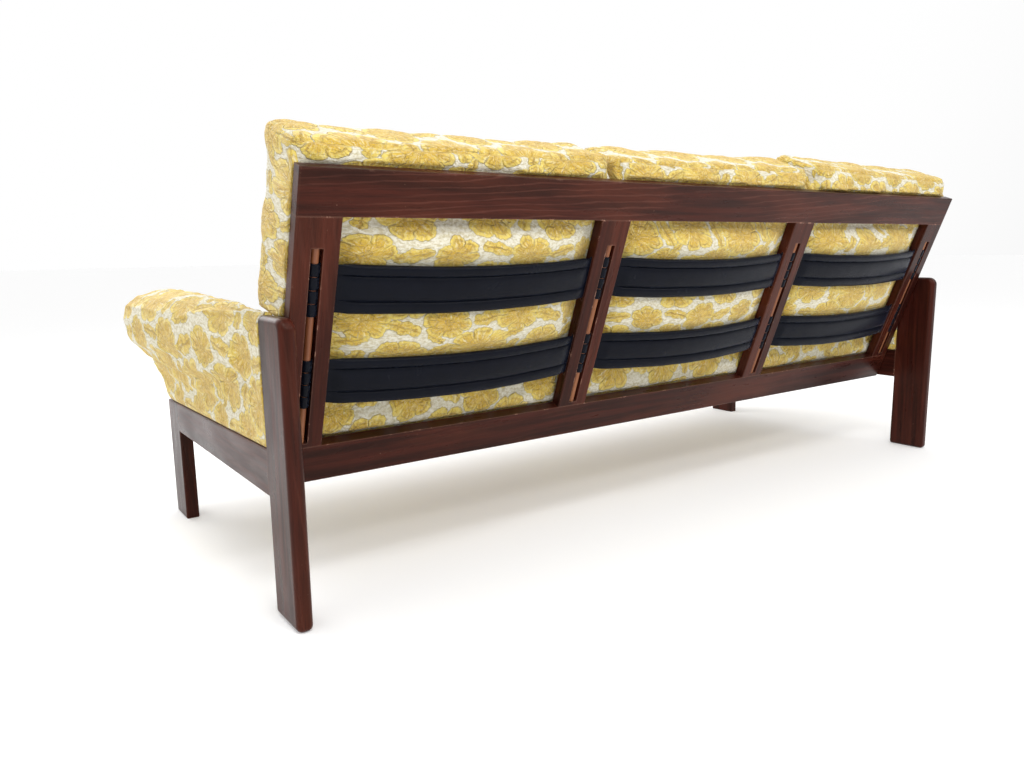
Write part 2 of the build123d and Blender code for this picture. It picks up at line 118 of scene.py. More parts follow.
def smoothstep(low, high, x):
    """0 below low, 1 above high, smooth between."""
    t = np.clip((x - low) / (high - low), 0, 1)
    return t * t * (3 - 2 * t)


# ---- camera
CAMERA_PLACE = Vector((1.3120, REAR_Y + 1.1078, 0.5752))
CAMERA_HEADING = math.radians(35.43)
CAMERA_PITCH = math.radians(-9.62)
CAMERA_ROLL = math.radians(-0.85)
CAMERA_LENS = 27.79


def make_camera():
    """A camera behind the sofa's left end, at about the height of an eye on a stool."""
    h, p, r = CAMERA_HEADING, CAMERA_PITCH, CAMERA_ROLL
    forward = Vector((-math.sin(h) * math.cos(p), -math.cos(h) * math.cos(p), math.sin(p)))
    right = Vector((-math.cos(h), math.sin(h), 0))
    up = right.cross(forward)
    right, up = right * math.cos(r) + up * math.sin(r), up * math.cos(r) - right * math.sin(r)
    data = bpy.data.cameras.new("camera")
    data.lens = CAMERA_LENS
    data.sensor_width = 36
    data.clip_start = 0.05
    camera = bpy.data.objects.new("camera", data)
    turn = Matrix((right, up, -forward)).transposed().to_4x4()
    camera.matrix_world = Matrix.Translation(CAMERA_PLACE) @ turn
    bpy.context.scene.collection.objects.link(camera)
    bpy.context.scene.camera = camera


# ---- node helpers
class Tree:
    """Short ways to add and join shader nodes."""

    def __init__(self, tree):
        self.tree = tree

    def fill(self, node, inputs):
        """Give a node its inputs, in order or by name; each is an output to join or a value."""
        for key, value in inputs.items() if isinstance(inputs, dict) else enumerate(inputs):
            if isinstance(value, bpy.types.NodeSocket):
                self.tree.links.new(value, node.inputs[key])
            else:
                node.inputs[key].default_value = value

    def make(self, kind, inputs=(), output=0, **settings):
        """One output of a new node."""
        made = self.tree.nodes.new(kind)
        for key, value in settings.items():
            setattr(made, key, value)
        self.fill(made, inputs)
        return made.outputs[output]

    def math(self, operation, *inputs):
        return self.make("ShaderNodeMath", inputs, operation=operation)

    def times(self, a, b):
        return self.math("MULTIPLY", a, b)

    def plus(self, a, b):
        return self.math("ADD", a, b)

    def minus(self, a, b):
        return self.math("SUBTRACT", a, b)

    def most(self, a, b):
        return self.math("MAXIMUM", a, b)

    def size(self, a):
        """The value without its sign."""
        return self.math("ABSOLUTE", a)

    def vector(self, operation, *inputs, output=0):
        return self.make("ShaderNodeVectorMath", inputs, output, operation=operation)

    def scaled(self, vector, factors):
        return self.vector("MULTIPLY", vector, factors)

    def moved(self, vector, offset):
        return self.vector("ADD", vector, offset)

    def length(self, vector):
        return self.vector("LENGTH", vector, output="Value")

    def turned(self, vector, rotation):
        return self.make("ShaderNodeMapping", {"Vector": vector, "Rotation": rotation}, vector_type="POINT")

    def split(self, vector):
        return self.make("ShaderNodeSeparateXYZ", (vector,)).node.outputs

    def joined(self, *parts):
        return self.make("ShaderNodeCombineXYZ", parts)

    def place(self):
        """The point in the object's own coordinates."""
        return self.make("ShaderNodeTexCoord", output="Object")

    def ramp(self, value, low, high, start=0.0, end=1.0):
        """A smooth step from start to end as the value goes from low to high."""
        inputs = (value, low, high, start, end)
        return self.make("ShaderNodeMapRange", inputs, interpolation_type="SMOOTHSTEP")

    def mix(self, factor, a, b):
        return self.make("ShaderNodeMix", {0: factor, 6: a, 7: b}, 2, data_type="RGBA")

    def mix_vector(self, factor, a, b):
        return self.make("ShaderNodeMix", {0: factor, 4: a, 5: b}, 1, data_type="VECTOR")

    def noise(self, vector, scale, detail=3.0, rough=0.5):
        """Noise; its scale is one number, or a tuple of one for each axis."""
        if isinstance(scale, tuple):
            vector, scale = self.scaled(vector, scale), 1.0
        inputs = {"Vector": vector, "Scale": scale, "Detail": detail, "Roughness": rough}
        return self.make("ShaderNodeTexNoise", inputs, "Fac")

    def wave(self, inputs, **settings):
        return self.make("ShaderNodeTexWave", inputs, "Fac", **settings)


def new_material(name):
    """An empty material with a Principled shader: (material, tree, shader)."""
    material = bpy.data.materials.new(name)
    material.use_nodes = True
    shader = next(n for n in material.node_tree.nodes if n.type == "BSDF_PRINCIPLED")
    return material, Tree(material.node_tree), shader


def add_bump(tree, shader, height, distance, below=None):
    """Bump in metres, on top of another bump if one is given."""
    inputs = {"Strength": 1.0, "Distance": distance, "Height": height}
    if below is not None:
        inputs["Normal"] = below
    bump = tree.make("ShaderNodeBump", inputs)
    tree.fill(shader, {"Normal": bump})
    return bump


# ---- wood
WOOD_DARK = (0.018, 0.0036, 0.0026, 1)
WOOD_MID = (0.056, 0.0105, 0.0064, 1)
WOOD_WARM = (0.112, 0.025, 0.012, 1)
# light colour of worn edges and specks, also used for the painted highlight along every edge
WOOD_WEAR_AND_HIGHLIGHT = (0.46, 0.25, 0.18, 1)
WOOD_LINE = (0.145, 0.050, 0.036, 1)
WOOD_PORE = (0.008, 0.0024, 0.0022, 1)
EDGE_WEAR_AND_HIGHLIGHT_R = 0.0035
BEECH = ((0.52, 0.34, 0.19, 1), (0.40, 0.24, 0.12, 1))
DOWEL_WOOD = ((0.36, 0.135, 0.045, 1), (0.20, 0.060, 0.018, 1))
QUARTER = math.pi / 2
# turns that bring the grain to X; X itself needs none
GRAIN_TURNS = {"X": (), "Y": ((0, 0, QUARTER),), "Z": ((0, QUARTER, 0),),
               "slope": ((BACK_TILT - QUARTER, 0, 0), (0, 0, QUARTER))}


def grain_vector(tree, grain, seed):
    """Object coordinates turned so that their X runs along the grain."""
    place = tree.place()
    for turn in GRAIN_TURNS[grain]:
        place = tree.turned(place, turn)
    return tree.moved(place, (seed * 1.7, seed * 0.37, seed * 0.71))


def stained_wood(name, grain, seed, figured):
    """Dark red-brown stained beech: fine pores, soft figure, lighter where its edges are worn, and a faint
    painted highlight along every edge.
    """
    material, tree, shader = new_material(name)
    along = grain_vector(tree, grain, seed)
    sway = tree.times(tree.noise(along, (1.2, 5, 5), 2), 0.035)
    bent = tree.moved(along, tree.joined(0.0, sway, sway))
    figure = tree.noise(bent, (2.2, 60, 60), 5, 0.62)
    pores = tree.noise(along, (28, 900, 900), 2, 0.6)
    patch = tree.noise(along, (3, 12, 12), 3)
    colour = tree.mix(tree.ramp(figure, 0.36, 0.68), WOOD_DARK, WOOD_MID)
    colour = tree.mix(tree.times(tree.ramp(patch, 0.45, 0.75), 0.5), colour, WOOD_WARM)
    ring_place = tree.moved(tree.scaled(bent, (0.55, 3.2, 3.2)), (0.1, 0.13, 0.05))
    ring_inputs = {"Vector": ring_place, "Scale": 9.0, "Distortion": 5.0, "Detail": 3.0, "Detail Scale": 1.3}
    rings = tree.wave(ring_inputs, wave_type="RINGS", rings_direction="SPHERICAL")
    cathedral = tree.times(tree.ramp(rings, 0.80, 1.0), tree.ramp(patch, 0.40, 0.60))
    colour = tree.mix(tree.times(cathedral, figured), colour, WOOD_LINE)
    colour = tree.mix(tree.times(tree.ramp(pores, 0.56, 0.70), 0.45), colour, WOOD_PORE)
    bevel = tree.make("ShaderNodeBevel", {"Radius": EDGE_WEAR_AND_HIGHLIGHT_R}, samples=6)
    normal = tree.make("ShaderNodeNewGeometry", output="Normal")
    edge = tree.ramp(tree.vector("DOT_PRODUCT", bevel, normal, output="Value"), 0.995, 0.93)
    place = tree.place()
    wear_and_edge_highlight = tree.times(edge, tree.ramp(tree.noise(place, 55.0, 6, 0.7), 0.552, 0.632))
    specks = tree.ramp(tree.noise(place, 210.0, 2, 0.5), 0.775, 0.79)
    wear_and_edge_highlight = tree.most(wear_and_edge_highlight, tree.times(specks, 0.4))
    # painted highlight: every edge a little lighter, whether it is worn there or not
    wear_and_edge_highlight = tree.most(wear_and_edge_highlight, tree.times(edge, 0.16))
    colour = tree.mix(tree.times(wear_and_edge_highlight, 0.85), colour, WOOD_WEAR_AND_HIGHLIGHT)
    rough = tree.ramp(tree.noise(along, (8, 40, 40), 4), 0.3, 0.7, 0.26, 0.38)
    tree.fill(shader, {
        "Base Color": colour, "Roughness": tree.plus(rough, tree.times(wear_and_edge_highlight, 0.25)),
        "Specular IOR Level": 0.18, "Specular Tint": (1.0, 0.72, 0.60, 1),
    })
    add_bump(tree, shader, tree.plus(tree.times(pores, -0.6), tree.times(wear_and_edge_highlight, -1.5)), 0.00022)
    return material


def pale_wood(name, grain, seed, light, dark):
    """Beech without stain."""
    material, tree, shader = new_material(name)
    along = grain_vector(tree, grain, seed)
    figure = tree.noise(along, (2, 45, 45), 4, 0.6)
    flecks = tree.noise(along, (60, 420, 420), 2, 0.5)
    colour = tree.mix(tree.ramp(figure, 0.35, 0.7), dark, light)
    colour = tree.mix(tree.times(tree.ramp(flecks, 0.6, 0.7), 0.4), colour, dark)
    tree.fill(shader, {"Base Color": colour, "Roughness": tree.ramp(figure, 0.2, 0.8, 0.5, 0.62)})
    add_bump(tree, shader, flecks, 0.0002)
    return material


# ---- other plain materials
def leatherette():
    """Blue-black satin leatherette with a fine pressed grain."""
    material, tree, shader = new_material("leatherette")
    place = tree.place()
    cell_inputs = {"Vector": place, "Scale": 700}
    cells = tree.make("ShaderNodeTexVoronoi", cell_inputs, "Distance", feature="DISTANCE_TO_EDGE")
    creases = tree.noise(place, (14, 60, 60), 3, 0.6)
    tone = tree.noise(place, 30.0, 3)
    tree.fill(shader, {
        "Base Color": tree.mix(tone, (0.0016, 0.0022, 0.0048, 1), (0.0038, 0.0050, 0.0105, 1)),
        "Roughness": tree.ramp(tone, 0.2, 0.8, 0.20, 0.28), "Specular IOR Level": 0.09,
        "Sheen Weight": 0.10, "Sheen Roughness": 0.30, "Sheen Tint": (0.42, 0.58, 1.0, 1),
    })
    below = add_bump(tree, shader, creases, 0.00025)
    add_bump(tree, shader, tree.ramp(cells, 0.0, 0.12), 0.00006, below)
    return material


def zinc():
    """Zinc-plated steel."""
    material, tree, shader = new_material("zinc")
    cloud = tree.noise(tree.place(), 160.0, 3)
    tree.fill(shader, {
        "Base Color": tree.mix(cloud, (0.42, 0.42, 0.40, 1), (0.62, 0.61, 0.57, 1)),
        "Metallic": 1.0, "Roughness": tree.ramp(cloud, 0.2, 0.8, 0.28, 0.45),
    })
    return material


def webbing_weave():
    """Black elastic webbing with a rib across it."""
    material, tree, shader = new_material("webbing")
    place = tree.place()
    ribs = tree.wave({"Vector": place, "Scale": 90}, bands_direction="Y")
    height = tree.times(ribs, tree.wave({"Vector": place, "Scale": 60}, bands_direction="X"))
    colour = tree.mix(height, (0.010, 0.010, 0.010, 1), (0.035, 0.034, 0.032, 1))
    tree.fill(shader, {"Base Color": colour, "Roughness": 0.8})
    add_bump(tree, shader, height, 0.0008)
    return material


# ---- brocade
REPEAT = (0.300, 0.340)         # size of the pattern's repeat, in metres
# centre as a share of the repeat, radius in metres, turn, number of petals
FLOWERS = [
    (0.19, 0.17, 0.066, 0.3, 7), (0.70, 0.62, 0.068, 1.1, 8), (0.68, 0.13, 0.054, 2.0, 6),
    (0.20, 0.67, 0.057, 0.8, 7), (0.455, 0.41, 0.050, 1.7, 6), (0.96, 0.40, 0.046, 0.2, 6),
    (0.45, 0.885, 0.049, 2.6, 7), (0.95, 0.89, 0.044, 1.4, 6),
]
# centre, half length, turn
LEAVES = [
    (0.44, 0.12, 0.030, 1.3), (0.93, 0.15, 0.036, 0.6), (0.22, 0.42, 0.034, 0.1), (0.70, 0.37, 0.038, 2.8),
    (0.45, 0.64, 0.036, 1.5), (0.97, 0.65, 0.040, 1.8), (0.20, 0.925, 0.034, 2.9), (0.70, 0.885, 0.036, 0.4),
    (0.03, 0.53, 0.020, 1.0), (0.42, 0.27, 0.024, 0.4), (0.90, 0.27, 0.022, 2.4),
]
LEAF_WIDTH = 0.50
PETAL_DEPTH = 0.20              # how far the notches between petals reach in, as a share of the radius
LOBE_POWER = 0.6                # below 1, the petals are blunt
CREAM = (0.82, 0.785, 0.655, 1)
CREAM_SHADE = (0.60, 0.53, 0.34, 1)
# painted shade for the puckers' hollows in the cream ground
CREAM_PAINTED_SHADE = (0.50, 0.40, 0.22, 1)
GOLD = (0.63, 0.390, 0.024, 1)
GOLD_LIGHT = (0.80, 0.620, 0.120, 1)
GOLD_LINE = (0.40, 0.235, 0.035, 1)
# painted shade for the puckers' hollows in the gold
GOLD_PAINTED_SHADE = (0.40, 0.215, 0.028, 1)


def wrapped(points, centre):
    """Offsets from the nearest copy of centre in the repeating pattern."""
    size = np.array(REPEAT)
    offset = points - np.array(centre) * size
    return offset - size * np.round(offset / size)


def relief(uv):
    """Height of the puckered pattern, 0 to 1, at an array of cloth coordinates."""
    height = np.zeros(len(uv))
    for cx, cy, radius, turn, petals in FLOWERS:
        d = wrapped(uv, (cx, cy))
        r = np.hypot(d[:, 0], d[:, 1])
        angle = np.arctan2(d[:, 1], d[:, 0]) + turn
        lobe = np.abs(np.cos(angle * petals / 2)) ** LOBE_POWER
        t = r / (radius * (1 - PETAL_DEPTH + PETAL_DEPTH * lobe))
        height = np.maximum(height, np.clip(1 - t ** 4, 0, 1) * (0.6 + 0.4 * lobe))
    for cx, cy, half, turn in LEAVES:
        d = wrapped(uv, (cx, cy))
        x = d[:, 0] * math.cos(turn) + d[:, 1] * math.sin(turn)
        y = -d[:, 0] * math.sin(turn) + d[:, 1] * math.cos(turn)
        t = np.hypot(x / half, y / (half * LEAF_WIDTH))
        height = np.maximum(height, 0.7 * np.clip(1 - t ** 3, 0, 1))
    return height


def pattern_offset(tree, share, centre):
    """Nodes for wrapped(), from the cloth coordinates as shares of the repeat."""
    moved = tree.moved(share, (0.5 - centre[0], 0.5 - centre[1], 0))
    half = (-REPEAT[0] / 2, -REPEAT[1] / 2, 0)
    return tree.vector("MULTIPLY_ADD", tree.vector("FRACTION", moved), (*REPEAT, 0), half)


def every_flower(tree, share):
    """Each flower's nearness, its offset and radius, and its petals' turn and half count."""
    for cx, cy, radius, turn, petals in FLOWERS:
        offset = pattern_offset(tree, share, (cx, cy))
        reach = tree.math("DIVIDE", tree.length(offset), radius)
        yield reach, tree.moved(offset, (0, 0, radius)), (turn * petals / 2, petals / 2, 0)


def every_leaf(tree, share):
    """Each leaf's nearness (1 at its outline), and the place along and across it with its half length."""
    for cx, cy, half, turn in LEAVES:
        turned = tree.turned(pattern_offset(tree, share, (cx, cy)), (0, 0, -turn))
        scaled = tree.scaled(turned, (1 / half, 1 / (half * LEAF_WIDTH), 0))
        yield tree.length(scaled), tree.moved(scaled, (0, 0, half))


def nearest(tree, candidates):
    """Nodes that keep the nearest candidate; one is made at a time, so that few values are held at once."""
    best, *kept = next(candidates)
    for reach, *values in candidates:
        closer = tree.math("LESS_THAN", reach, best)
        kept = [tree.mix_vector(closer, old, new) for old, new in zip(kept, values)]
        best = tree.math("MINIMUM", best, reach)
    return best, *kept


def flower_nodes(tree, share):
    """(gold, line, puff, streak) of the flowers."""
    _, place, petal = nearest(tree, every_flower(tree, share))
    x, y, radius = tree.split(place)
    turn, count, _ = tree.split(petal)
    r = tree.math("SQRT", tree.plus(tree.times(x, x), tree.times(y, y)))
    r = tree.math("DIVIDE", r, radius)
    bearing = tree.math("ARCTAN2", y, x)
    angle = tree.math("MULTIPLY_ADD", bearing, count, turn)
    lobe = tree.math("POWER", tree.size(tree.math("COSINE", angle)), LOBE_POWER)
    cross = tree.math("POWER", tree.size(tree.math("SINE", angle)), LOBE_POWER)
    t = tree.math("DIVIDE", r, tree.math("MULTIPLY_ADD", lobe, PETAL_DEPTH, 1 - PETAL_DEPTH))
    gold = tree.ramp(t, 1.0, 0.95)
    inner = tree.math("MULTIPLY_ADD", cross, 0.17, 0.36)
    ring = tree.ramp(tree.size(tree.minus(r, inner)), 0.055, 0.012)
    echo = tree.ramp(tree.size(tree.minus(t, 0.80)), 0.050, 0.012)
    echo = tree.times(echo, tree.ramp(lobe, 0.45, 0.75, 0.0, 0.75))
    notch = tree.times(tree.ramp(lobe, 0.34, 0.16), tree.math("GREATER_THAN", r, inner))
    core = tree.ramp(tree.size(tree.minus(r, 0.17)), 0.050, 0.012)
    vein = tree.times(tree.ramp(cross, 0.30, 0.12), tree.ramp(t, 0.48, 0.56))
    vein = tree.times(vein, tree.ramp(t, 0.80, 0.72, 0.0, 0.6))
    ring = tree.times(tree.most(ring, core), 0.55)
    line = tree.most(ring, tree.most(notch, vein))
    line = tree.times(tree.most(line, echo), gold)
    puff = tree.minus(1.0, tree.math("POWER", t, 4.0))
    puff = tree.times(puff, tree.math("MULTIPLY_ADD", lobe, 0.4, 0.6))
    rays = tree.joined(tree.times(bearing, 9.0), tree.times(r, 2.2), tree.times(radius, 900.0))
    return gold, line, puff, tree.noise(rays, 1.0, 3, 0.6)


def leaf_nodes(tree, share):
    """(gold, line, puff, streak) of the leaves."""
    reach, place = nearest(tree, every_leaf(tree, share))
    along, across, _ = tree.split(place)
    wavy = tree.math("MULTIPLY_ADD", tree.math("COSINE", tree.times(along, 9.0)), 0.10, 0.94)
    t = tree.math("DIVIDE", reach, wavy)
    gold = tree.ramp(t, 1.0, 0.92)
    away = tree.size(across)
    ribs = tree.size(tree.math("SINE", tree.math("MULTIPLY_ADD", along, 9.0, away)))
    line = tree.most(tree.ramp(away, 0.16, 0.05), tree.ramp(ribs, 0.28, 0.08, 0.0, 0.45))
    puff = tree.times(tree.minus(1.0, tree.math("POWER", t, 4.0)), 0.7)
    return gold, tree.times(line, gold), puff, tree.noise(place, (5, 3, 900), 3, 0.6)


def brocade():
    """Puckered brocade: gold flowers and leaves on a crinkled cream ground, with painted shade in the
    crinkle's low parts and in blotches standing for the puckers' hollows.
    """
    material, tree, shader = new_material("brocade")
    cloth = tree.make("ShaderNodeUVMap", uv_map="cloth")
    bent = cloth
    for scale, reach in ((55, 0.011), (210, 0.0055)):
        wobble = tree.make("ShaderNodeTexNoise", {"Vector": cloth, "Scale": scale, "Detail": 3}, "Color")
        sway = tree.vector("SUBTRACT", wobble, (0.5, 0.5, 0.5))
        bent = tree.moved(bent, tree.scaled(sway, (reach, reach, 0)))
    share = tree.vector("DIVIDE", bent, (*REPEAT, 1))
    flower, leaf = flower_nodes(tree, share), leaf_nodes(tree, share)
    gold, line, puff = (tree.most(*pair) for pair in zip(flower[:3], leaf[:3]))
    in_flower = tree.math("GREATER_THAN", flower[0], 0.02)
    streak = tree.plus(tree.times(flower[3], in_flower), tree.times(leaf[3], tree.minus(1.0, in_flower)))
    puff = tree.most(puff, 0.0)
    fibre = tree.noise(cloth, (900, 260, 1), 2, 0.6)
    cloud = tree.noise(cloth, 26.0, 4, 0.6)
    crinkle = tree.noise(bent, (120, 210, 1), 3, 0.6)
    ground = tree.mix(tree.ramp(crinkle, 0.60, 0.36), CREAM, CREAM_SHADE)
    shade = tree.plus(tree.times(puff, 0.45), tree.times(cloud, 0.4))
    shade = tree.plus(shade, tree.times(streak, 0.9))
    petals = tree.mix(tree.ramp(shade, 0.72, 1.15), GOLD_LIGHT, GOLD)
    strands = tree.noise(bent, (420, 170, 1), 3, 0.7)
    petals = tree.mix(tree.ramp(strands, 0.50, 0.70, 0.0, 0.40), petals, CREAM)
    petals = tree.mix(tree.ramp(streak, 0.53, 0.68, 0.0, 0.62), petals, GOLD_LINE)
    petals = tree.mix(tree.ramp(streak, 0.45, 0.30, 0.0, 0.48), petals, CREAM)
    line = tree.times(line, tree.ramp(cloud, 0.34, 0.56, 0.25, 0.95))
    petals = tree.mix(tree.times(line, 0.66), petals, GOLD_LINE)
    colour = tree.mix(gold, ground, petals)
    rim = tree.times(gold, tree.minus(1.0, gold))
    colour = tree.mix(tree.times(rim, tree.ramp(cloud, 0.40, 0.60, 0.4, 2.6)), colour, GOLD_LINE)
    colour = tree.mix(tree.ramp(fibre, 0.45, 0.75, 0.0, 0.18), colour, CREAM_SHADE)
    # painted shade: blotches darkened as if the puckers' hollows were in shade
    pucker_shade_mask = tree.plus(tree.noise(bent, (95, 150, 1), 4, 0.65), tree.times(streak, 0.35))
    painted_pucker_shade = tree.mix(gold, CREAM_PAINTED_SHADE, GOLD_PAINTED_SHADE)
    colour = tree.mix(tree.ramp(pucker_shade_mask, 0.62, 0.44, 0.0, 0.50), colour, painted_pucker_shade)
    tree.fill(shader, {
        "Base Color": colour, "Roughness": tree.ramp(gold, 0.0, 1.0, 0.88, 0.66),
        "Sheen Weight": 0.25, "Sheen Roughness": 0.5, "Specular IOR Level": 0.3,
    })
    raised = tree.plus(tree.times(gold, 0.35), tree.times(puff, 0.65))
    raised = tree.minus(raised, tree.times(line, 0.42))
    raised = tree.plus(raised, tree.times(crinkle, 0.60))
    below = add_bump(tree, shader, raised, 0.0050)
    add_bump(tree, shader, tree.plus(fibre, strands), 0.0007, below)
    return material


# ---- mesh helpers
def mesh_object(name, points, faces, material, uvs=None, smooth=True):
    """A mesh object; uvs is one pair for each corner of each face, in order."""
    mesh = bpy.data.meshes.new(name)
    mesh.from_pydata([tuple(p) for p in points], [], faces)
    mesh.polygons.foreach_set("use_smooth", [smooth] * len(faces))
    if uvs is not None:
        layer = mesh.uv_layers.new(name="cloth")
        layer.data.foreach_set("uv", np.array(uvs, np.float32).ravel())
    mesh.materials.append(material)
    piece = bpy.data.objects.new(name, mesh)
    bpy.context.scene.collection.objects.link(piece)
    return piece


def coordinates(mesh, key="co"):
    """The mesh's points, or their normals, as an array."""
    flat = np.zeros(len(mesh.vertices) * 3, np.float32)
    mesh.vertices.foreach_get(key, flat)
    return flat.reshape(-1, 3).astype(float)


def set_coordinates(mesh, points):
    """Write an array of points to the mesh."""
    mesh.vertices.foreach_set("co", np.asarray(points, np.float32).ravel())
    mesh.update()


def subdivide(piece):
    """One Catmull-Clark subdivision, applied."""
    piece.modifiers.new("smooth", "SUBSURF").levels = 1
    depsgraph = bpy.context.evaluated_depsgraph_get()
    made = bpy.data.meshes.new_from_object(piece.evaluated_get(depsgraph))
    piece.modifiers.clear()
    piece.data = made


def point_attribute(mesh, name, values):
    """Store one number for each point."""
    attribute = mesh.attributes.new(name, "FLOAT", "POINT")
    attribute.data.foreach_set("value", np.asarray(values, np.float32))


def read_attribute(mesh, name):
    """Read one number for each point."""
    values = np.zeros(len(mesh.vertices), np.float32)
    mesh.attributes[name].data.foreach_get("value", values)
    return values.astype(float)


def cloth_of_points(mesh):
    """One cloth coordinate for each point, from the first corner that uses it."""
    corner = np.zeros(len(mesh.loops), np.int32)
    mesh.loops.foreach_get("vertex_index", corner)
    uv = np.zeros(len(mesh.loops) * 2, np.float32)
    mesh.uv_layers["cloth"].data.foreach_get("uv", uv)
    result = np.zeros((len(mesh.vertices), 2))
    result[corner[::-1]] = uv.reshape(-1, 2)[::-1]
    return result


SIM_FRAMES = 20
CLOTH = {"quality": 6, "mass": 0.35, "tension_stiffness": 18, "compression_stiffness": 18,
         "shear_stiffness": 8, "bending_stiffness": 1.2, "use_pressure": True}


def inflate(piece, pressure, cap, pinned):
    """Swell the piece like a stuffed cover, by cloth simulation; no point moves further than cap."""
    start = coordinates(piece.data)
    group = piece.vertex_groups.new(name="pinned")
    for index in np.nonzero(pinned)[0]:
        group.add([int(index)], 1.0, "REPLACE")
    settings = piece.modifiers.new("cloth", "CLOTH").settings
    for key, value in CLOTH.items():
        setattr(settings, key, value)
    settings.uniform_pressure_force = pressure
    settings.effector_weights.gravity = 0
    settings.vertex_group_mass = "pinned"
    settings.pin_stiffness = 1.0
    scene = bpy.context.scene
    for number in range(1, SIM_FRAMES + 1):
        scene.frame_set(number)
    depsgraph = bpy.context.evaluated_depsgraph_get()
    swollen = coordinates(piece.evaluated_get(depsgraph).data)
    piece.modifiers.clear()
    scene.frame_set(1)
    move = swollen - start
    length = np.linalg.norm(move, axis=1, keepdims=True)
    limited = cap * np.tanh(length / cap)
    set_coordinates(piece.data, start + move * limited / np.maximum(length, 1e-9))


def puckers(points, size, seed):
    """Soft noise from -1 to 1 at each point, with bumps of about `size` metres."""
    shift = Vector((seed * 3.1, seed * 1.3, seed * 2.3))
    return np.array([noise.noise(Vector(p) / size + shift) for p in points])


# ---- cushions
CELL = 0.012
CUSHION_R = 0.022
RELIEF = 0.0026
SEAM_DEPTH = 0.0022


def lattice(counts):
    """Points and faces of a box made of small squares, as whole numbers.

    Returns (keys, faces, sides): faces are lists of point numbers, sides the axis and end of each face."""
    index, keys, faces, sides = {}, [], [], []

    def point(key):
        if key not in index:
            index[key] = len(keys)
            keys.append(key)
        return index[key]

    for axis in range(3):
        first, second = [a for a in range(3) if a != axis]
        for end in (0, 1):
            for i in range(counts[first]):
                for j in range(counts[second]):
                    corners = []
                    for di, dj in ((0, 0), (1, 0), (1, 1), (0, 1)):
                        key = [0, 0, 0]
                        key[axis] = counts[axis] * end
                        key[first], key[second] = i + di, j + dj
                        corners.append(point(tuple(key)))
                    outward = (end == 1) == (axis != 1)
                    faces.append(corners if outward else corners[::-1])
                    sides.append((axis, end))
    return keys, faces, sides


def swayed(uvs):
    """Cloth coordinates bent a little, so that the woven pattern isn't quite regular."""
    return [(x + 0.010 * noise.noise(Vector((x * 14, y * 14, 1.7))),
             y + 0.010 * noise.noise(Vector((x * 14, y * 14, 8.3)))) for x, y in uvs]


def cushion_mesh(name, size, place, material, seed):
    """A boxed cushion: width, height and thickness in metres; place() puts its points in the sofa.

    The first two axes span its big faces. Its cloth coordinates run on round its edges."""
    counts = [max(4, round(length / CELL)) for length in size]
    keys, faces, sides = lattice(counts)
    half = np.array(size) / 2
    grid = np.array(keys, float) / np.array(counts) * 2 * half - half
    core = np.clip(grid, -(half - CUSHION_R), half - CUSHION_R)
    offset = grid - core
    length = np.linalg.norm(offset, axis=1, keepdims=True)
    points = core + offset / np.maximum(length, 1e-9) * CUSHION_R * (length > 1e-9)
    shift = np.array([seed * 0.137, seed * 0.211])
    uvs = []
    for corners, (axis, end) in zip(faces, sides):
        turned = 1 if end else -1
        for corner in corners:
            x, y, z = grid[corner]
            if axis == 2:
                pair = (x * turned, y)
            elif axis == 1:
                pair = (x, z + 0.4 * turned)
            else:
                pair = (z + 0.7, y)
            uvs.append((pair[0] + shift[0] * (axis + 1), pair[1] + shift[1] * (end + 1)))
    piece = mesh_object(name, place(points), faces, material, swayed(uvs))
    edge = np.abs(np.abs(grid[:, 2]) - half[2]) < 1e-6
    on_boxing = np.maximum(np.abs(grid[:, 0]) - half[0], np.abs(grid[:, 1]) - half[1]) > -1e-6
    point_attribute(piece.data, "seam", (edge & on_boxing).astype(float))
    for number, key in enumerate(("box_x", "box_y", "box_z")):
        point_attribute(piece.data, key, grid[:, number] / half[number])
    return piece


def finish_cushion(piece, seed):
    """Subdivide, sink the seams, and raise the pattern and soft puckers."""
    subdivide(piece)
    mesh = piece.data
    seam = smoothstep(0.25, 1.0, read_attribute(mesh, "seam"))
    near_seam = smoothstep(0.0, 0.2, read_attribute(mesh, "seam"))
    points, outward = coordinates(mesh), coordinates(mesh, "normal")
    lift = RELIEF * relief(cloth_of_points(mesh)) * (1 - near_seam)
    lift += 0.0025 * puckers(points, 0.085, seed) + 0.0008 * puckers(points, 0.022, seed + 5)
    lift -= SEAM_DEPTH * seam
    set_coordinates(mesh, points + outward * lift[:, None])


SEAT_PITCH = 0.590
SEAT_SIZE = (0.588, 0.640, 0.118)
SEAT_OUTER = 0.014              # the outer cushions are this much wider, towards the arms
SEAT_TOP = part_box("seat_cushion_centre")[1].z
BACK_PITCH = 0.594
BACK_SIZE = (0.592, 0.545, 0.126)


def seat_place(bay):
    """Puts a seat cushion's points in the sofa, its rear end leaning with the back frame."""
    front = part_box("seat_cushion_" + bay)[0].y + 0.004
    rear_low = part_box("back_bottom_rail")[0].y - 0.004

    def place(points):
        share = (points[:, 1] + SEAT_SIZE[1] / 2) / SEAT_SIZE[1]
        z = DECK_Z + 0.001 + points[:, 2] + SEAT_SIZE[2] / 2
        rear = rear_low + (z - BACK_FOOT.z) * math.tan(BACK_TILT)
        y = front + share * (rear - front)
        return np.stack([points[:, 0] + BAYS[bay] * SEAT_PITCH, y, z], axis=-1)

    return place


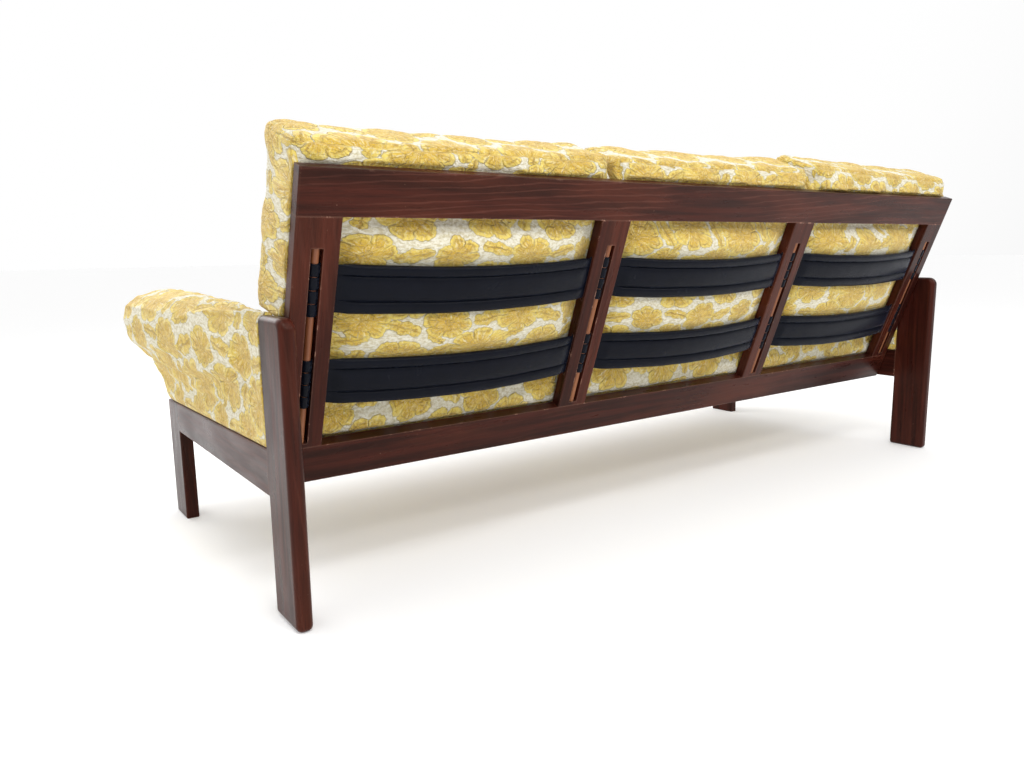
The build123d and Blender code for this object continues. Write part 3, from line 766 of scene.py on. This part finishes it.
def make_seat_cushion(bay, material, seed):
    """A seat cushion: flat underneath, crowned on top, pressed flat under the back cushion."""
    name = "seat_cushion_" + bay
    piece = cushion_mesh(name + "_cover", SEAT_SIZE, seat_place(bay), material, seed)
    inflate(piece, 4.0, 0.024, pinned=read_attribute(piece.data, "box_z") < -0.98)
    mesh = piece.data
    points = coordinates(mesh)
    centre = BAYS[bay] * SEAT_PITCH
    limit = SEAT_PITCH / 2 - 0.0012
    points[:, 0] = np.clip(points[:, 0], centre - limit, centre + limit)
    points[:, 0] += BAYS[bay] * SEAT_OUTER * smoothstep(0.5, 1.0, BAYS[bay] * read_attribute(mesh, "box_x"))
    crown = 1 - read_attribute(mesh, "box_x") ** 2 * 0.9
    depth = read_attribute(mesh, "box_y")
    top = smoothstep(-0.2, 0.9, read_attribute(mesh, "box_z"))
    points[:, 2] += top * (0.004 + 0.010 * crown * (1 - smoothstep(0.2, 0.62, depth)) * (1 - depth ** 4))
    set_coordinates(mesh, points)
    finish_cushion(piece, seed)
    mesh = piece.data
    points = coordinates(mesh)
    points[:, 2] = np.maximum(points[:, 2], DECK_Z + 0.0005)
    reach = smoothstep(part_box("back_cushion_centre")[0].y + 0.02, BACK_FOOT.y - 0.115, points[:, 1])
    ceiling = SEAT_TOP - 0.0012 + (1 - reach) * 0.06
    points[:, 2] = np.minimum(points[:, 2], ceiling)
    wall = BACK_FOOT.y - (BACK_T + 0.0012) / math.cos(BACK_TILT)
    wall = wall + (points[:, 2] - BACK_FOOT.z) * math.tan(BACK_TILT)
    points[:, 1] = np.minimum(points[:, 1], wall)
    set_coordinates(mesh, points)
    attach(piece, name)
    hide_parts(name)


def back_place(bay, rise_low, rise_high):
    """Puts a back cushion's points in the sofa; its foot is level, and its top rises by two amounts."""

    def place(points):
        w = points[:, 2] + BACK_SIZE[2] / 2 + BACK_T + 0.003
        foot = (SEAT_TOP + 0.004 - BACK_FOOT.z - w * math.sin(BACK_TILT)) / math.cos(BACK_TILT)
        share = (points[:, 1] + BACK_SIZE[1] / 2) / BACK_SIZE[1]
        side = points[:, 0] / BACK_SIZE[0] + 0.5
        high = 0.578 + rise_low + (rise_high - rise_low) * side
        return back_points(points[:, 0] + BAYS[bay] * BACK_PITCH, foot + share * (high - foot), w)

    return place


def bay_shares(u):
    """How far u is into its bay, from 0 at the uprights to 1 in the middle."""
    centres = np.array([-(END_STILE_X + MID_STILE_X) / 2, 0, (END_STILE_X + MID_STILE_X) / 2])
    half = (END_STILE_X - MID_STILE_X - STILE_W) / 2
    nearest = centres[np.argmin(np.abs(u[:, None] - centres[None, :]), axis=1)]
    return np.clip(1 - ((u - nearest) / half) ** 2, 0, 1)


def rear_limit(u, v):
    """The least w that a back cushion's surface may have: frame, straps, or open bay."""
    arc = bay_shares(u)
    strap = DOWEL_W + STRAP_T / 2 + 0.0015 - STRAP_BOW * arc
    band = np.zeros_like(v)
    for height in STRAP_HEIGHTS.values():
        band = np.maximum(band, 1 - smoothstep(STRAP_H / 2 - 0.004, STRAP_H / 2 + 0.022, np.abs(v - height)))
    inside = smoothstep(BOTTOM_RAIL_H + 0.002, BOTTOM_RAIL_H + 0.040, v)
    inside = inside * (1 - smoothstep(BACK_L - TOP_RAIL_H - 0.045, BACK_L - TOP_RAIL_H - 0.003, v))
    inside = inside * smoothstep(0.02, 0.30, arc)
    open_bay = strap - 0.010 * arc
    surface = band * strap + (1 - band) * open_bay
    frame_face = BACK_T + 0.0012
    return frame_face + (surface - frame_face) * inside


BACK_RISE = {"left": (0.006, 0.004), "centre": (0.012, 0.006), "right": (0.012, 0.022)}
OUTER_SWELL = 0.020             # the outer cushions swell over the arms
SWELL_HEIGHTS = (-0.012, 0.003)  # above the arm's top


def make_back_cushion(bay, material, seed):
    """A back cushion: crowned in front, and pushed into the bays and against the straps behind."""
    name = "back_cushion_" + bay
    low, high = BACK_RISE[bay]
    piece = cushion_mesh(name + "_cover", BACK_SIZE, back_place(bay, low, high), material, seed)
    inflate(piece, 4.0, 0.022, pinned=read_attribute(piece.data, "box_y") < -0.98)
    finish_cushion(piece, seed)
    mesh = piece.data
    u, v, w = back_axes(coordinates(mesh))
    centre = BAYS[bay] * BACK_PITCH
    limit = BACK_PITCH / 2 - 0.0010
    placed = back_points(u, v, w)
    above = placed[:, 2] - arm_top(arm_share(placed[:, 1]))
    outer = OUTER_SWELL * smoothstep(*SWELL_HEIGHTS, above) * (1.6 - 0.6 * smoothstep(0.30, 0.54, v))
    away = BAYS[bay] * (u - centre) / limit
    u = np.clip(u, centre - limit, centre + limit)
    u = u + BAYS[bay] * outer * smoothstep(0.45, 0.90, away)
    behind = smoothstep(0.2, -0.75, read_attribute(mesh, "box_z"))
    limit_w = rear_limit(u, v)
    framed = 1 - smoothstep(BACK_L - 0.004, BACK_L + 0.016, v)
    w = w - np.maximum(w - limit_w, 0) * behind * framed
    w = np.where(v < BACK_L + 0.004, np.maximum(w, limit_w), w)
    points = back_points(u, v, w)
    points[:, 2] = np.maximum(points[:, 2], SEAT_TOP + 0.0008)
    set_coordinates(mesh, points)
    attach(piece, name)
    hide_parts(name)


# ---- arms
ARM_TOP_REAR = 0.489
ARM_TOP_FRONT = 0.511
ARM_NOSE_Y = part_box("arm_pad_left")[0].y
PANEL_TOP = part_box("arm_panel_left")[1].z
PANEL_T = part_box("arm_panel_left")[1].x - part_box("arm_panel_left")[0].x
ARM_RING = 104
ARM_STATIONS = 82
ARM_EVEN = 66                   # rings before the front begins to close
ARM_REFERENCE = 49              # the ring whose girth sets the cloth coordinates
ARM_WAIST = 0.60                # share of the height about which the front closes
NOSE_START = 0.90
NOSE_FLAT = 0.30                # width of the flat front, as a share of the arm's
NOSE_DOME = 0.004
NOSE_SEAM_STATION = 74
CAP_RINGS = 6
ARM_REAR_OUT = 0.0132
ARM_REAR_IN = 0.0150
# share of the height, then how much the front end stands out, outwards and inwards, in metres
ARM_BULGE = [
    (0.00, 0.000, 0.000), (0.12, 0.006, 0.000), (0.24, 0.019, 0.000), (0.36, 0.041, 0.001),
    (0.48, 0.067, 0.003), (0.60, 0.084, 0.009), (0.74, 0.087, 0.017), (0.86, 0.080, 0.018),
    (0.95, 0.056, 0.012), (1.00, 0.016, 0.002),
]


def rail_top(y):
    """Height of a side rail's top, which rises a little to the rear."""
    share = (y - SIDE_FRONT_Y) / (LEG_FRONT_Y - SIDE_FRONT_Y)
    return RAIL_TOP_FRONT + share * (RAIL_TOP_REAR - RAIL_TOP_FRONT)


def arm_share(y):
    """How far along the arm a point is, from 0 at the rear leg to 1 at the front."""
    return (LEG_FRONT_Y - y) / (LEG_FRONT_Y - ARM_NOSE_Y)


def arm_top(t):
    """Height of the arm's top: a little lower where it meets the rear leg."""
    return ARM_TOP_REAR + (ARM_TOP_FRONT - ARM_TOP_REAR) * smoothstep(0.0, 0.60, t)


def arm_stations():
    """(share of the length, roundness) of each ring: even along the arm, then closing round its front."""
    stations = [(NOSE_START * i / ARM_EVEN, 1.0) for i in range(ARM_EVEN)]
    for i in range(ARM_STATIONS - ARM_EVEN + 1):
        angle = i / (ARM_STATIONS - ARM_EVEN) * math.pi / 2
        stations.append((NOSE_START + (1 - NOSE_START) * math.sin(angle) ** (1 / 1.2), math.cos(angle)))
    return stations


def arm_ring(t, roundness, tall):
    """How far out and how high a ring's points are, from the outer foot over the top to the inner foot."""
    ring = np.linspace(0, 1, ARM_RING)
    up = 1 - (1 - np.where(ring < 0.5, ring * 2, (1 - ring) * 2)) ** 1.25
    shares, outs, ins = np.array(ARM_BULGE).T
    swell = float(smoothstep(-0.12, 0.92, t))
    full = 0.25 + 0.75 * np.sqrt(np.clip(1 - np.clip((up - 0.90) / 0.10, 0, 1) ** 2, 0, 1))
    outward = ARM_REAR_OUT * full + swell * np.interp(up, shares, outs)
    inward = ARM_REAR_IN * full + swell * np.interp(up, shares, ins)
    width = np.where(ring < 0.5, outward, -inward)
    middle = 0.012 * swell
    width = middle + (width - middle) * (NOSE_FLAT + (1 - NOSE_FLAT) * roundness)
    height = ARM_WAIST * tall + (up * tall - ARM_WAIST * tall) * (0.45 + 0.55 * roundness)
    return width, height


def band(first, second, around):
    """Faces between two rings of points, each given by the number of its first point."""
    return [[first + k, first + n, second + n, second + k] for k, n in enumerate([*range(1, around), 0])]


def arm_cap(points, first, dome):
    """Close the ring that starts at point `first`; adds the points and returns the faces."""
    rim = np.array(points[first:first + ARM_RING])
    middle = rim.mean(axis=0)
    faces = []
    for step in range(1, CAP_RINGS):
        inward = step / CAP_RINGS
        second = len(points)
        for corner in rim + (middle - rim) * inward:
            points.append((corner[0], corner[1] - dome * inward * (2 - inward), corner[2]))
        faces += band(first, second, ARM_RING)
        first = second
    points.append((middle[0], middle[1] - dome, middle[2]))
    return faces + [[first + (k + 1) % ARM_RING, first + k, len(points) - 1] for k in range(ARM_RING)]


def arm_mesh(side, seed):
    """(points, faces, cloth coordinates of the faces' corners) of an arm cover."""
    points, faces, uvs = [], [], []
    for station, (t, roundness) in enumerate(arm_stations()):
        y = LEG_FRONT_Y - 0.0008 + t * (ARM_NOSE_Y - LEG_FRONT_Y)
        low = rail_top(y) + 0.0008
        width, height = arm_ring(t, roundness, arm_top(t) - low)
        points += [(side * (BOARD_X + out), y, low + up) for out, up in zip(width, height)]
        if station == ARM_REFERENCE:
            around = np.concatenate([[0], np.cumsum(np.hypot(np.diff(width), np.diff(height)))])

    def add(new_faces, kept_way, planar):
        for face in new_faces:
            face = face if kept_way else face[::-1]
            last = max(corner % ARM_RING for corner in face) == ARM_RING - 1
            faces.append(face)
            for corner in face:
                x, y, z = points[corner]
                ring = corner % ARM_RING
                wrap = around[-1] + 0.03 if ring == 0 and last else around[ring]
                uvs.append((abs(x) + seed * 0.05, z + seed * 0.09) if planar
                           else (y + seed * 0.083, wrap + seed * 0.071))

    for station in range(ARM_STATIONS):
        first = station * ARM_RING
        add(band(first, first + ARM_RING, ARM_RING), side < 0, station >= NOSE_SEAM_STATION)
    add(arm_cap(points, 0, 0.0), side > 0, True)
    add(arm_cap(points, ARM_STATIONS * ARM_RING, NOSE_DOME), side < 0, True)
    return points, faces, uvs


def make_arm(side_name, material, seed):
    """A padded arm cover: slim at the rear leg, full and rounded at the front."""
    side = SIDES[side_name]
    points, faces, uvs = arm_mesh(side, seed)
    piece = mesh_object("arm_cover_" + side_name, points, faces, material, swayed(uvs))
    start = coordinates(piece.data)
    t = arm_share(start[:, 1])
    foot = start[:, 2] < 0.285
    pinned = (t < 0.02) | (t > 0.992) | foot | ((side * start[:, 0] < BOARD_X) & (t < 0.30))
    inflate(piece, 3.0, 0.009, pinned)
    add_arm_creases(piece, side, seed)
    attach(piece, "frame")
    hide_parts("arm_pad_" + side_name)


# each crease's course in shares of the length and the height, then its depth and half width
CREASES = [
    (((0.30, 0.72), (0.17, 0.52), (0.06, 0.40)), 0.0050, 0.010),
    (((0.95, 0.40), (0.60, 0.36), (0.30, 0.44), (0.10, 0.30)), 0.0055, 0.011),
    (((0.90, 0.26), (0.55, 0.20), (0.20, 0.26)), 0.0035, 0.008),
    (((0.70, 0.12), (0.40, 0.10), (0.12, 0.14)), 0.0025, 0.008),
    (((0.98, 0.52), (0.72, 0.50), (0.45, 0.60)), 0.0040, 0.012),
    (((0.45, 0.30), (0.32, 0.16), (0.22, 0.06)), 0.0025, 0.008),
]
NOSE_SEAM = (0.9749, 0.0022, 0.0050)
ARM_SEAM = (((0.0, 0.86), (0.08, 0.87), (0.28, 0.87), (0.41, 0.83), (0.52, 0.765), (0.58, 0.70)),
            0.0045, 0.0042)


def groove(t, h, course, half):
    """(depth from 0 to 1, distance) of each point (t, h) from a course; the depth tapers at both its ends."""
    size = np.array([LEG_FRONT_Y - ARM_NOSE_Y, ARM_TOP_FRONT - RAIL_TOP_REAR])
    place = np.stack([t, h], axis=-1) * size
    nodes = np.array(course) * size
    spans = np.linalg.norm(np.diff(nodes, axis=0), axis=1)
    total, run = spans.sum(), 0.0
    nearest, share = np.full(len(t), 9.0), np.zeros(len(t))
    for start, end, span in zip(nodes[:-1], nodes[1:], spans):
        along = np.clip(((place - start) @ (end - start)) / span ** 2, 0, 1)
        gap = np.linalg.norm(place - start - along[:, None] * (end - start), axis=1)
        closer = gap < nearest
        nearest = np.where(closer, gap, nearest)
        share = np.where(closer, (run + along * span) / total, share)
        run += span
    return np.exp(-(nearest / half) ** 2) * np.clip(np.sin(share * math.pi), 0, 1) ** 0.5, nearest


def add_arm_creases(piece, side, seed):
    """Pull lines below the bulge, the raised pattern and soft puckers."""
    subdivide(piece)
    mesh = piece.data
    points, outward = coordinates(mesh), coordinates(mesh, "normal")
    t = arm_share(points[:, 1])
    h = (points[:, 2] - RAIL_TOP_REAR) / (ARM_TOP_FRONT - RAIL_TOP_REAR)
    outer = smoothstep(-0.004, 0.008, side * points[:, 0] - BOARD_X)
    lift = np.zeros(len(points))
    for course, depth, half in CREASES:
        sunk, gap = groove(t, h, course, half)
        lift -= depth * sunk * outer
        lift += 0.4 * depth * np.exp(-((gap - 1.9 * half) / half) ** 2) * outer * smoothstep(0.02, 0.10, t)
    seam_t, seam_depth, seam_half = NOSE_SEAM
    lift -= seam_depth * np.exp(-((t - seam_t) / seam_half) ** 2)
    course, depth, half = ARM_SEAM
    lift -= depth * groove(np.maximum(t, 0.02), h, course, half)[0] * outer
    edge = smoothstep(0.0, 0.03, t) * smoothstep(0.0, 0.06, h)
    lift += RELIEF * 0.9 * relief(cloth_of_points(mesh)) * edge
    lift += (0.0022 * puckers(points, 0.07, seed) + 0.0008 * puckers(points, 0.02, seed + 3)) * edge
    points = points + outward * lift[:, None]
    inner_rear = (side * points[:, 0] < BOARD_X) & (t < 0.34)
    floor_x = BOARD_X - ARM_REAR_IN - 0.0008
    points[:, 0] = np.where(inner_rear, side * np.maximum(side * points[:, 0], floor_x), points[:, 0])
    most = ARM_REAR_OUT + 0.0012 + 0.10 * np.clip(t, 0, 1) * (LEG_FRONT_Y - ARM_NOSE_Y)
    most = np.where(t < 0.20, most, 1.0)
    points[:, 0] = side * np.minimum(side * points[:, 0], BOARD_X + most)
    near_panel = points[:, 2] < PANEL_TOP + 0.001
    away = np.maximum(np.abs(points[:, 0] - side * BOARD_X), PANEL_T / 2 + 0.0015)
    beside = side * BOARD_X + np.where(points[:, 0] > side * BOARD_X, away, -away)
    points[:, 0] = np.where(near_panel & (t < 0.93), beside, points[:, 0])
    points[:, 1] = np.minimum(points[:, 1], LEG_FRONT_Y - 0.0005)
    points[:, 2] = np.maximum(points[:, 2], rail_top(points[:, 1]) + 0.0006)
    set_coordinates(mesh, points)


# ---- straps
# half heights of the channels' borders, from the lower edge to the upper one, as shares of the height
CHANNELS = (0.0, 0.26, 0.78, 1.0)
STRAP_COLUMNS = 90
ROWS_PER_CHANNEL = (12, 20, 10)


def strap_section():
    """(share of the height, half thickness share) down the strap's section."""
    rows = []
    for (low, high), count in zip(zip(CHANNELS[:-1], CHANNELS[1:]), ROWS_PER_CHANNEL):
        full = 0.86 + 0.14 * min(1.0, (high - low) / 0.4)
        for i in range(count):
            s = 0.5 - 0.5 * math.cos(math.pi * i / count)
            puff = max(0.0, 1 - abs(2 * s - 1) ** 2.3) ** 0.5
            rows.append((low + s * (high - low), 0.10 + 0.90 * full * puff))
    rows.append((1.0, 0.10))
    return rows


def make_strap(bay, row, material, seed):
    """A padded strap with three channels, its tongues, and its loops round the dowels."""
    height = STRAP_HEIGHTS[row]
    uprights = [-END_STILE_X, -MID_STILE_X, MID_STILE_X, END_STILE_X]
    low_x, high_x = uprights[BAYS[bay] + 1], uprights[BAYS[bay] + 2]
    x0, x1 = low_x + STILE_W / 2 - 0.004, high_x - STILE_W / 2 + 0.004
    section = strap_section()
    points, faces = [], []
    for column in range(STRAP_COLUMNS + 1):
        s = column / STRAP_COLUMNS
        u = x0 + s * (x1 - x0)
        end = min(s, 1 - s) * (x1 - x0)
        full = float(smoothstep(0.004, 0.030, np.array(end)))
        bow = STRAP_BOW * (1 - (2 * s - 1) ** 2)
        sag = 0.0016 * math.sin(s * math.pi) + 0.0008 * noise.noise(Vector((s * 7, seed, 0)))
        tall = STRAP_H * (0.965 + 0.035 * full)
        crease = 1 + 0.05 * noise.noise(Vector((u * 18, seed * 2.7, height * 9))) * full
        for front in (False, True):
            rows = section if not front else section[::-1]
            for share, half in rows:
                v = height + (share - 0.5) * tall - sag
                thick = STRAP_T / 2 * half * crease * (0.22 + 0.78 * full)
                ripple = 0.0003 * noise.noise(Vector((u * 40, v * 40, seed))) * full
                w = DOWEL_W - bow + (thick if front else -thick) + ripple
                points.append(back_point(u, v, w))
    ring = 2 * len(section)
    for column in range(STRAP_COLUMNS):
        faces += band(column * ring, (column + 1) * ring, ring)
    faces.append(list(range(ring))[::-1])
    faces.append([STRAP_COLUMNS * ring + k for k in range(ring)])
    every = range(LOOP_COUNT)
    low_picks = every if bay == "right" else range(1, LOOP_COUNT, 2)
    high_picks = every if bay == "left" else range(0, LOOP_COUNT, 2)
    for x, toward, picks in ((low_x, 1, low_picks), (high_x, -1, high_picks)):
        for pick in picks:
            add_loop(points, faces, x, toward, height, pick, seed)
    name = "back_strap_" + row + "_" + bay
    piece = mesh_object(name + "_padded", points, faces, material)
    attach(piece, "frame")
    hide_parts(name)


LOOP_AROUND = 28
LOOP_ALONG = 8
LOOP_IN_R = 0.0063
LOOP_GAP = 0.0016
TONGUE_T = 0.0028


def loop_ring(x, v, radius):
    """A ring of points round a dowel."""
    angles = [2 * math.pi * k / LOOP_AROUND for k in range(LOOP_AROUND)]
    return [back_point(x + radius * math.cos(a), v, DOWEL_W - radius * math.sin(a)) for a in angles]


def add_loop(points, faces, x, toward, height, pick, seed):
    """One sewn loop round a dowel, with soft edges, and its tongue into the slot."""
    pitch = TONGUE_H / LOOP_COUNT
    low = height - TONGUE_H / 2 + pick * pitch + LOOP_GAP / 2
    high = low + pitch - LOOP_GAP
    base = len(points)
    for j in range(LOOP_ALONG + 1):
        s = j / LOOP_ALONG
        soft = 1 - 0.10 * (2 * s - 1) ** 6 + 0.02 * math.sin(s * 9 + seed + pick)
        points += loop_ring(x, low + s * (high - low), LOOP_R * soft)
    top = base + LOOP_ALONG * LOOP_AROUND
    for first in range(base, top, LOOP_AROUND):
        faces += band(first, first + LOOP_AROUND, LOOP_AROUND)
    inner = len(points)
    points += loop_ring(x, low, LOOP_IN_R) + loop_ring(x, high, LOOP_IN_R)
    faces += band(inner, base, LOOP_AROUND) + band(top, inner + LOOP_AROUND, LOOP_AROUND)
    corner = len(points)
    for u in (x + toward * LOOP_IN_R, x + toward * (STILE_W / 2 + 0.001)):
        for v in (low, high):
            for w in (DOWEL_W - TONGUE_T / 2, DOWEL_W + TONGUE_T / 2):
                points.append(back_point(u, v, w))
    for quad in ((0, 2, 3, 1), (4, 5, 7, 6), (0, 1, 5, 4), (2, 6, 7, 3), (0, 4, 6, 2), (1, 3, 7, 5)):
        faces.append([corner + q for q in quad])


# ---- the CAD nodes' finishes
def set_material(node, material):
    """Give a CAD node a new material."""
    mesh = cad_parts[node].data
    if not mesh.materials:
        mesh.materials.append(material)
    for index in range(len(mesh.materials)):
        mesh.materials[index] = material


# how each node's name starts, and the way of its grain
STAINED = {"rear_leg": "Z", "front_leg": "Z", "side_rail": "Y", "seat_front_rail": "X", "back_top_rail": "X",
           "back_bottom_rail": "X", "back_end_stile": "slope", "back_middle_stile": "slope"}
BARE = {"arm_panel": "Y", "seat_rear_rail": "X", "seat_cross_rail": "Y"}


def finish_cad_nodes():
    """Wood with its grain along each board, beech, steel and webbing."""
    steel, bands = zinc(), webbing_weave()
    for number, node in enumerate(sorted(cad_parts)):
        grain = next((g for start, g in STAINED.items() if node.startswith(start)), None)
        bare = next((g for start, g in BARE.items() if node.startswith(start)), None)
        if grain:
            figured = 0.34 if node == "back_top_rail" else 0.10
            set_material(node, stained_wood("wood_" + node, grain, number, figured))
        elif bare:
            set_material(node, pale_wood("beech_" + node, bare, number, *BEECH))
        elif node.startswith("strap_dowel"):
            set_material(node, pale_wood("dowel_" + node, "slope", number, *DOWEL_WOOD))
        elif "pegs" in node:
            set_material(node, pale_wood("peg_" + node, "Y", number, *BEECH))
        elif node.startswith("seat_webbing"):
            set_material(node, bands)
        elif node in ("corner_brackets", "bracket_screws", "back_locating_pins"):
            set_material(node, steel)


# ---- stage
def make_floor():
    """A plain pale floor."""
    size = 40.0
    corners = [(-size, -size, 0), (size, -size, 0), (size, size, 0), (-size, size, 0)]
    material, tree, shader = new_material("floor")
    tree.fill(shader, {
        "Base Color": (0.86, 0.86, 0.86, 1), "Roughness": 0.9, "Specular IOR Level": 0.1,
        "Emission Color": (1, 1, 1, 1), "Emission Strength": 0.20,
    })
    floor = mesh_object("floor", corners, [[0, 1, 2, 3]], material, smooth=False)
    floor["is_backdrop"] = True


def area_light(name, place, target, size, power):
    """A soft light aimed at a point; its size is its width and height."""
    data = bpy.data.lights.new(name, "AREA")
    data.shape = "RECTANGLE"
    data.size, data.size_y = size
    data.energy = power
    light = bpy.data.objects.new(name, data)
    light.visible_camera = False
    direction = Vector(target) - Vector(place)
    turn = direction.to_track_quat("-Z", "Y").to_matrix().to_4x4()
    light.matrix_world = Matrix.Translation(place) @ turn
    bpy.context.scene.collection.objects.link(light)


ROOM_AXIS = (0.12, -0.88, 0.40)   # the way in which the room is brightest


def make_lights():
    """A window in front, soft light from above, a strip behind, and a room darker behind the camera."""
    bpy.context.scene.view_settings.view_transform = "Standard"
    world = bpy.data.worlds.new("room")
    bpy.context.scene.world = world
    world.use_nodes = True
    tree = Tree(world.node_tree)
    place = tree.make("ShaderNodeTexCoord", output="Generated")
    heading = tree.vector("DOT_PRODUCT", place, ROOM_AXIS, output="Value")
    strength = tree.ramp(heading, -0.60, 0.45, 0.58, 1.0)
    tree.fill(world.node_tree.nodes["Background"], {"Color": (1, 1, 1, 1), "Strength": strength})
    area_light("window", (1.5, -2.8, 2.1), (0.3, 0.0, 0.4), (2.2, 2.2), 44)
    area_light("ceiling", (0.9, 1.6, 2.9), (0.1, 0.2, 0.4), (0.9, 0.9), 30)
    area_light("top", (0.2, -1.4, 3.0), (0.0, 0.0, 0.4), (2.4, 2.4), 24)
    area_light("rear strip", (-0.5, 2.5, 2.1), (0.0, 0.3, 0.4), (3.4, 0.35), 28)


# ---- make everything
make_camera()
make_floor()
make_lights()
finish_cad_nodes()
fabric = brocade()
vinyl = leatherette()
for number, bay_name in enumerate(BAYS):
    make_seat_cushion(bay_name, fabric, 3 + number)
    make_back_cushion(bay_name, fabric, 11 + number)
    for row_number, row_name in enumerate(STRAP_HEIGHTS):
        make_strap(bay_name, row_name, vinyl, 1 + number * 2 + row_number)
for number, arm_name in enumerate(SIDES):
    make_arm(arm_name, fabric, 21 + number)

boxes = {"cad": CAD_BOX, "visual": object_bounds()}
{key: [list(corner) for corner in box] for key, box in boxes.items()}
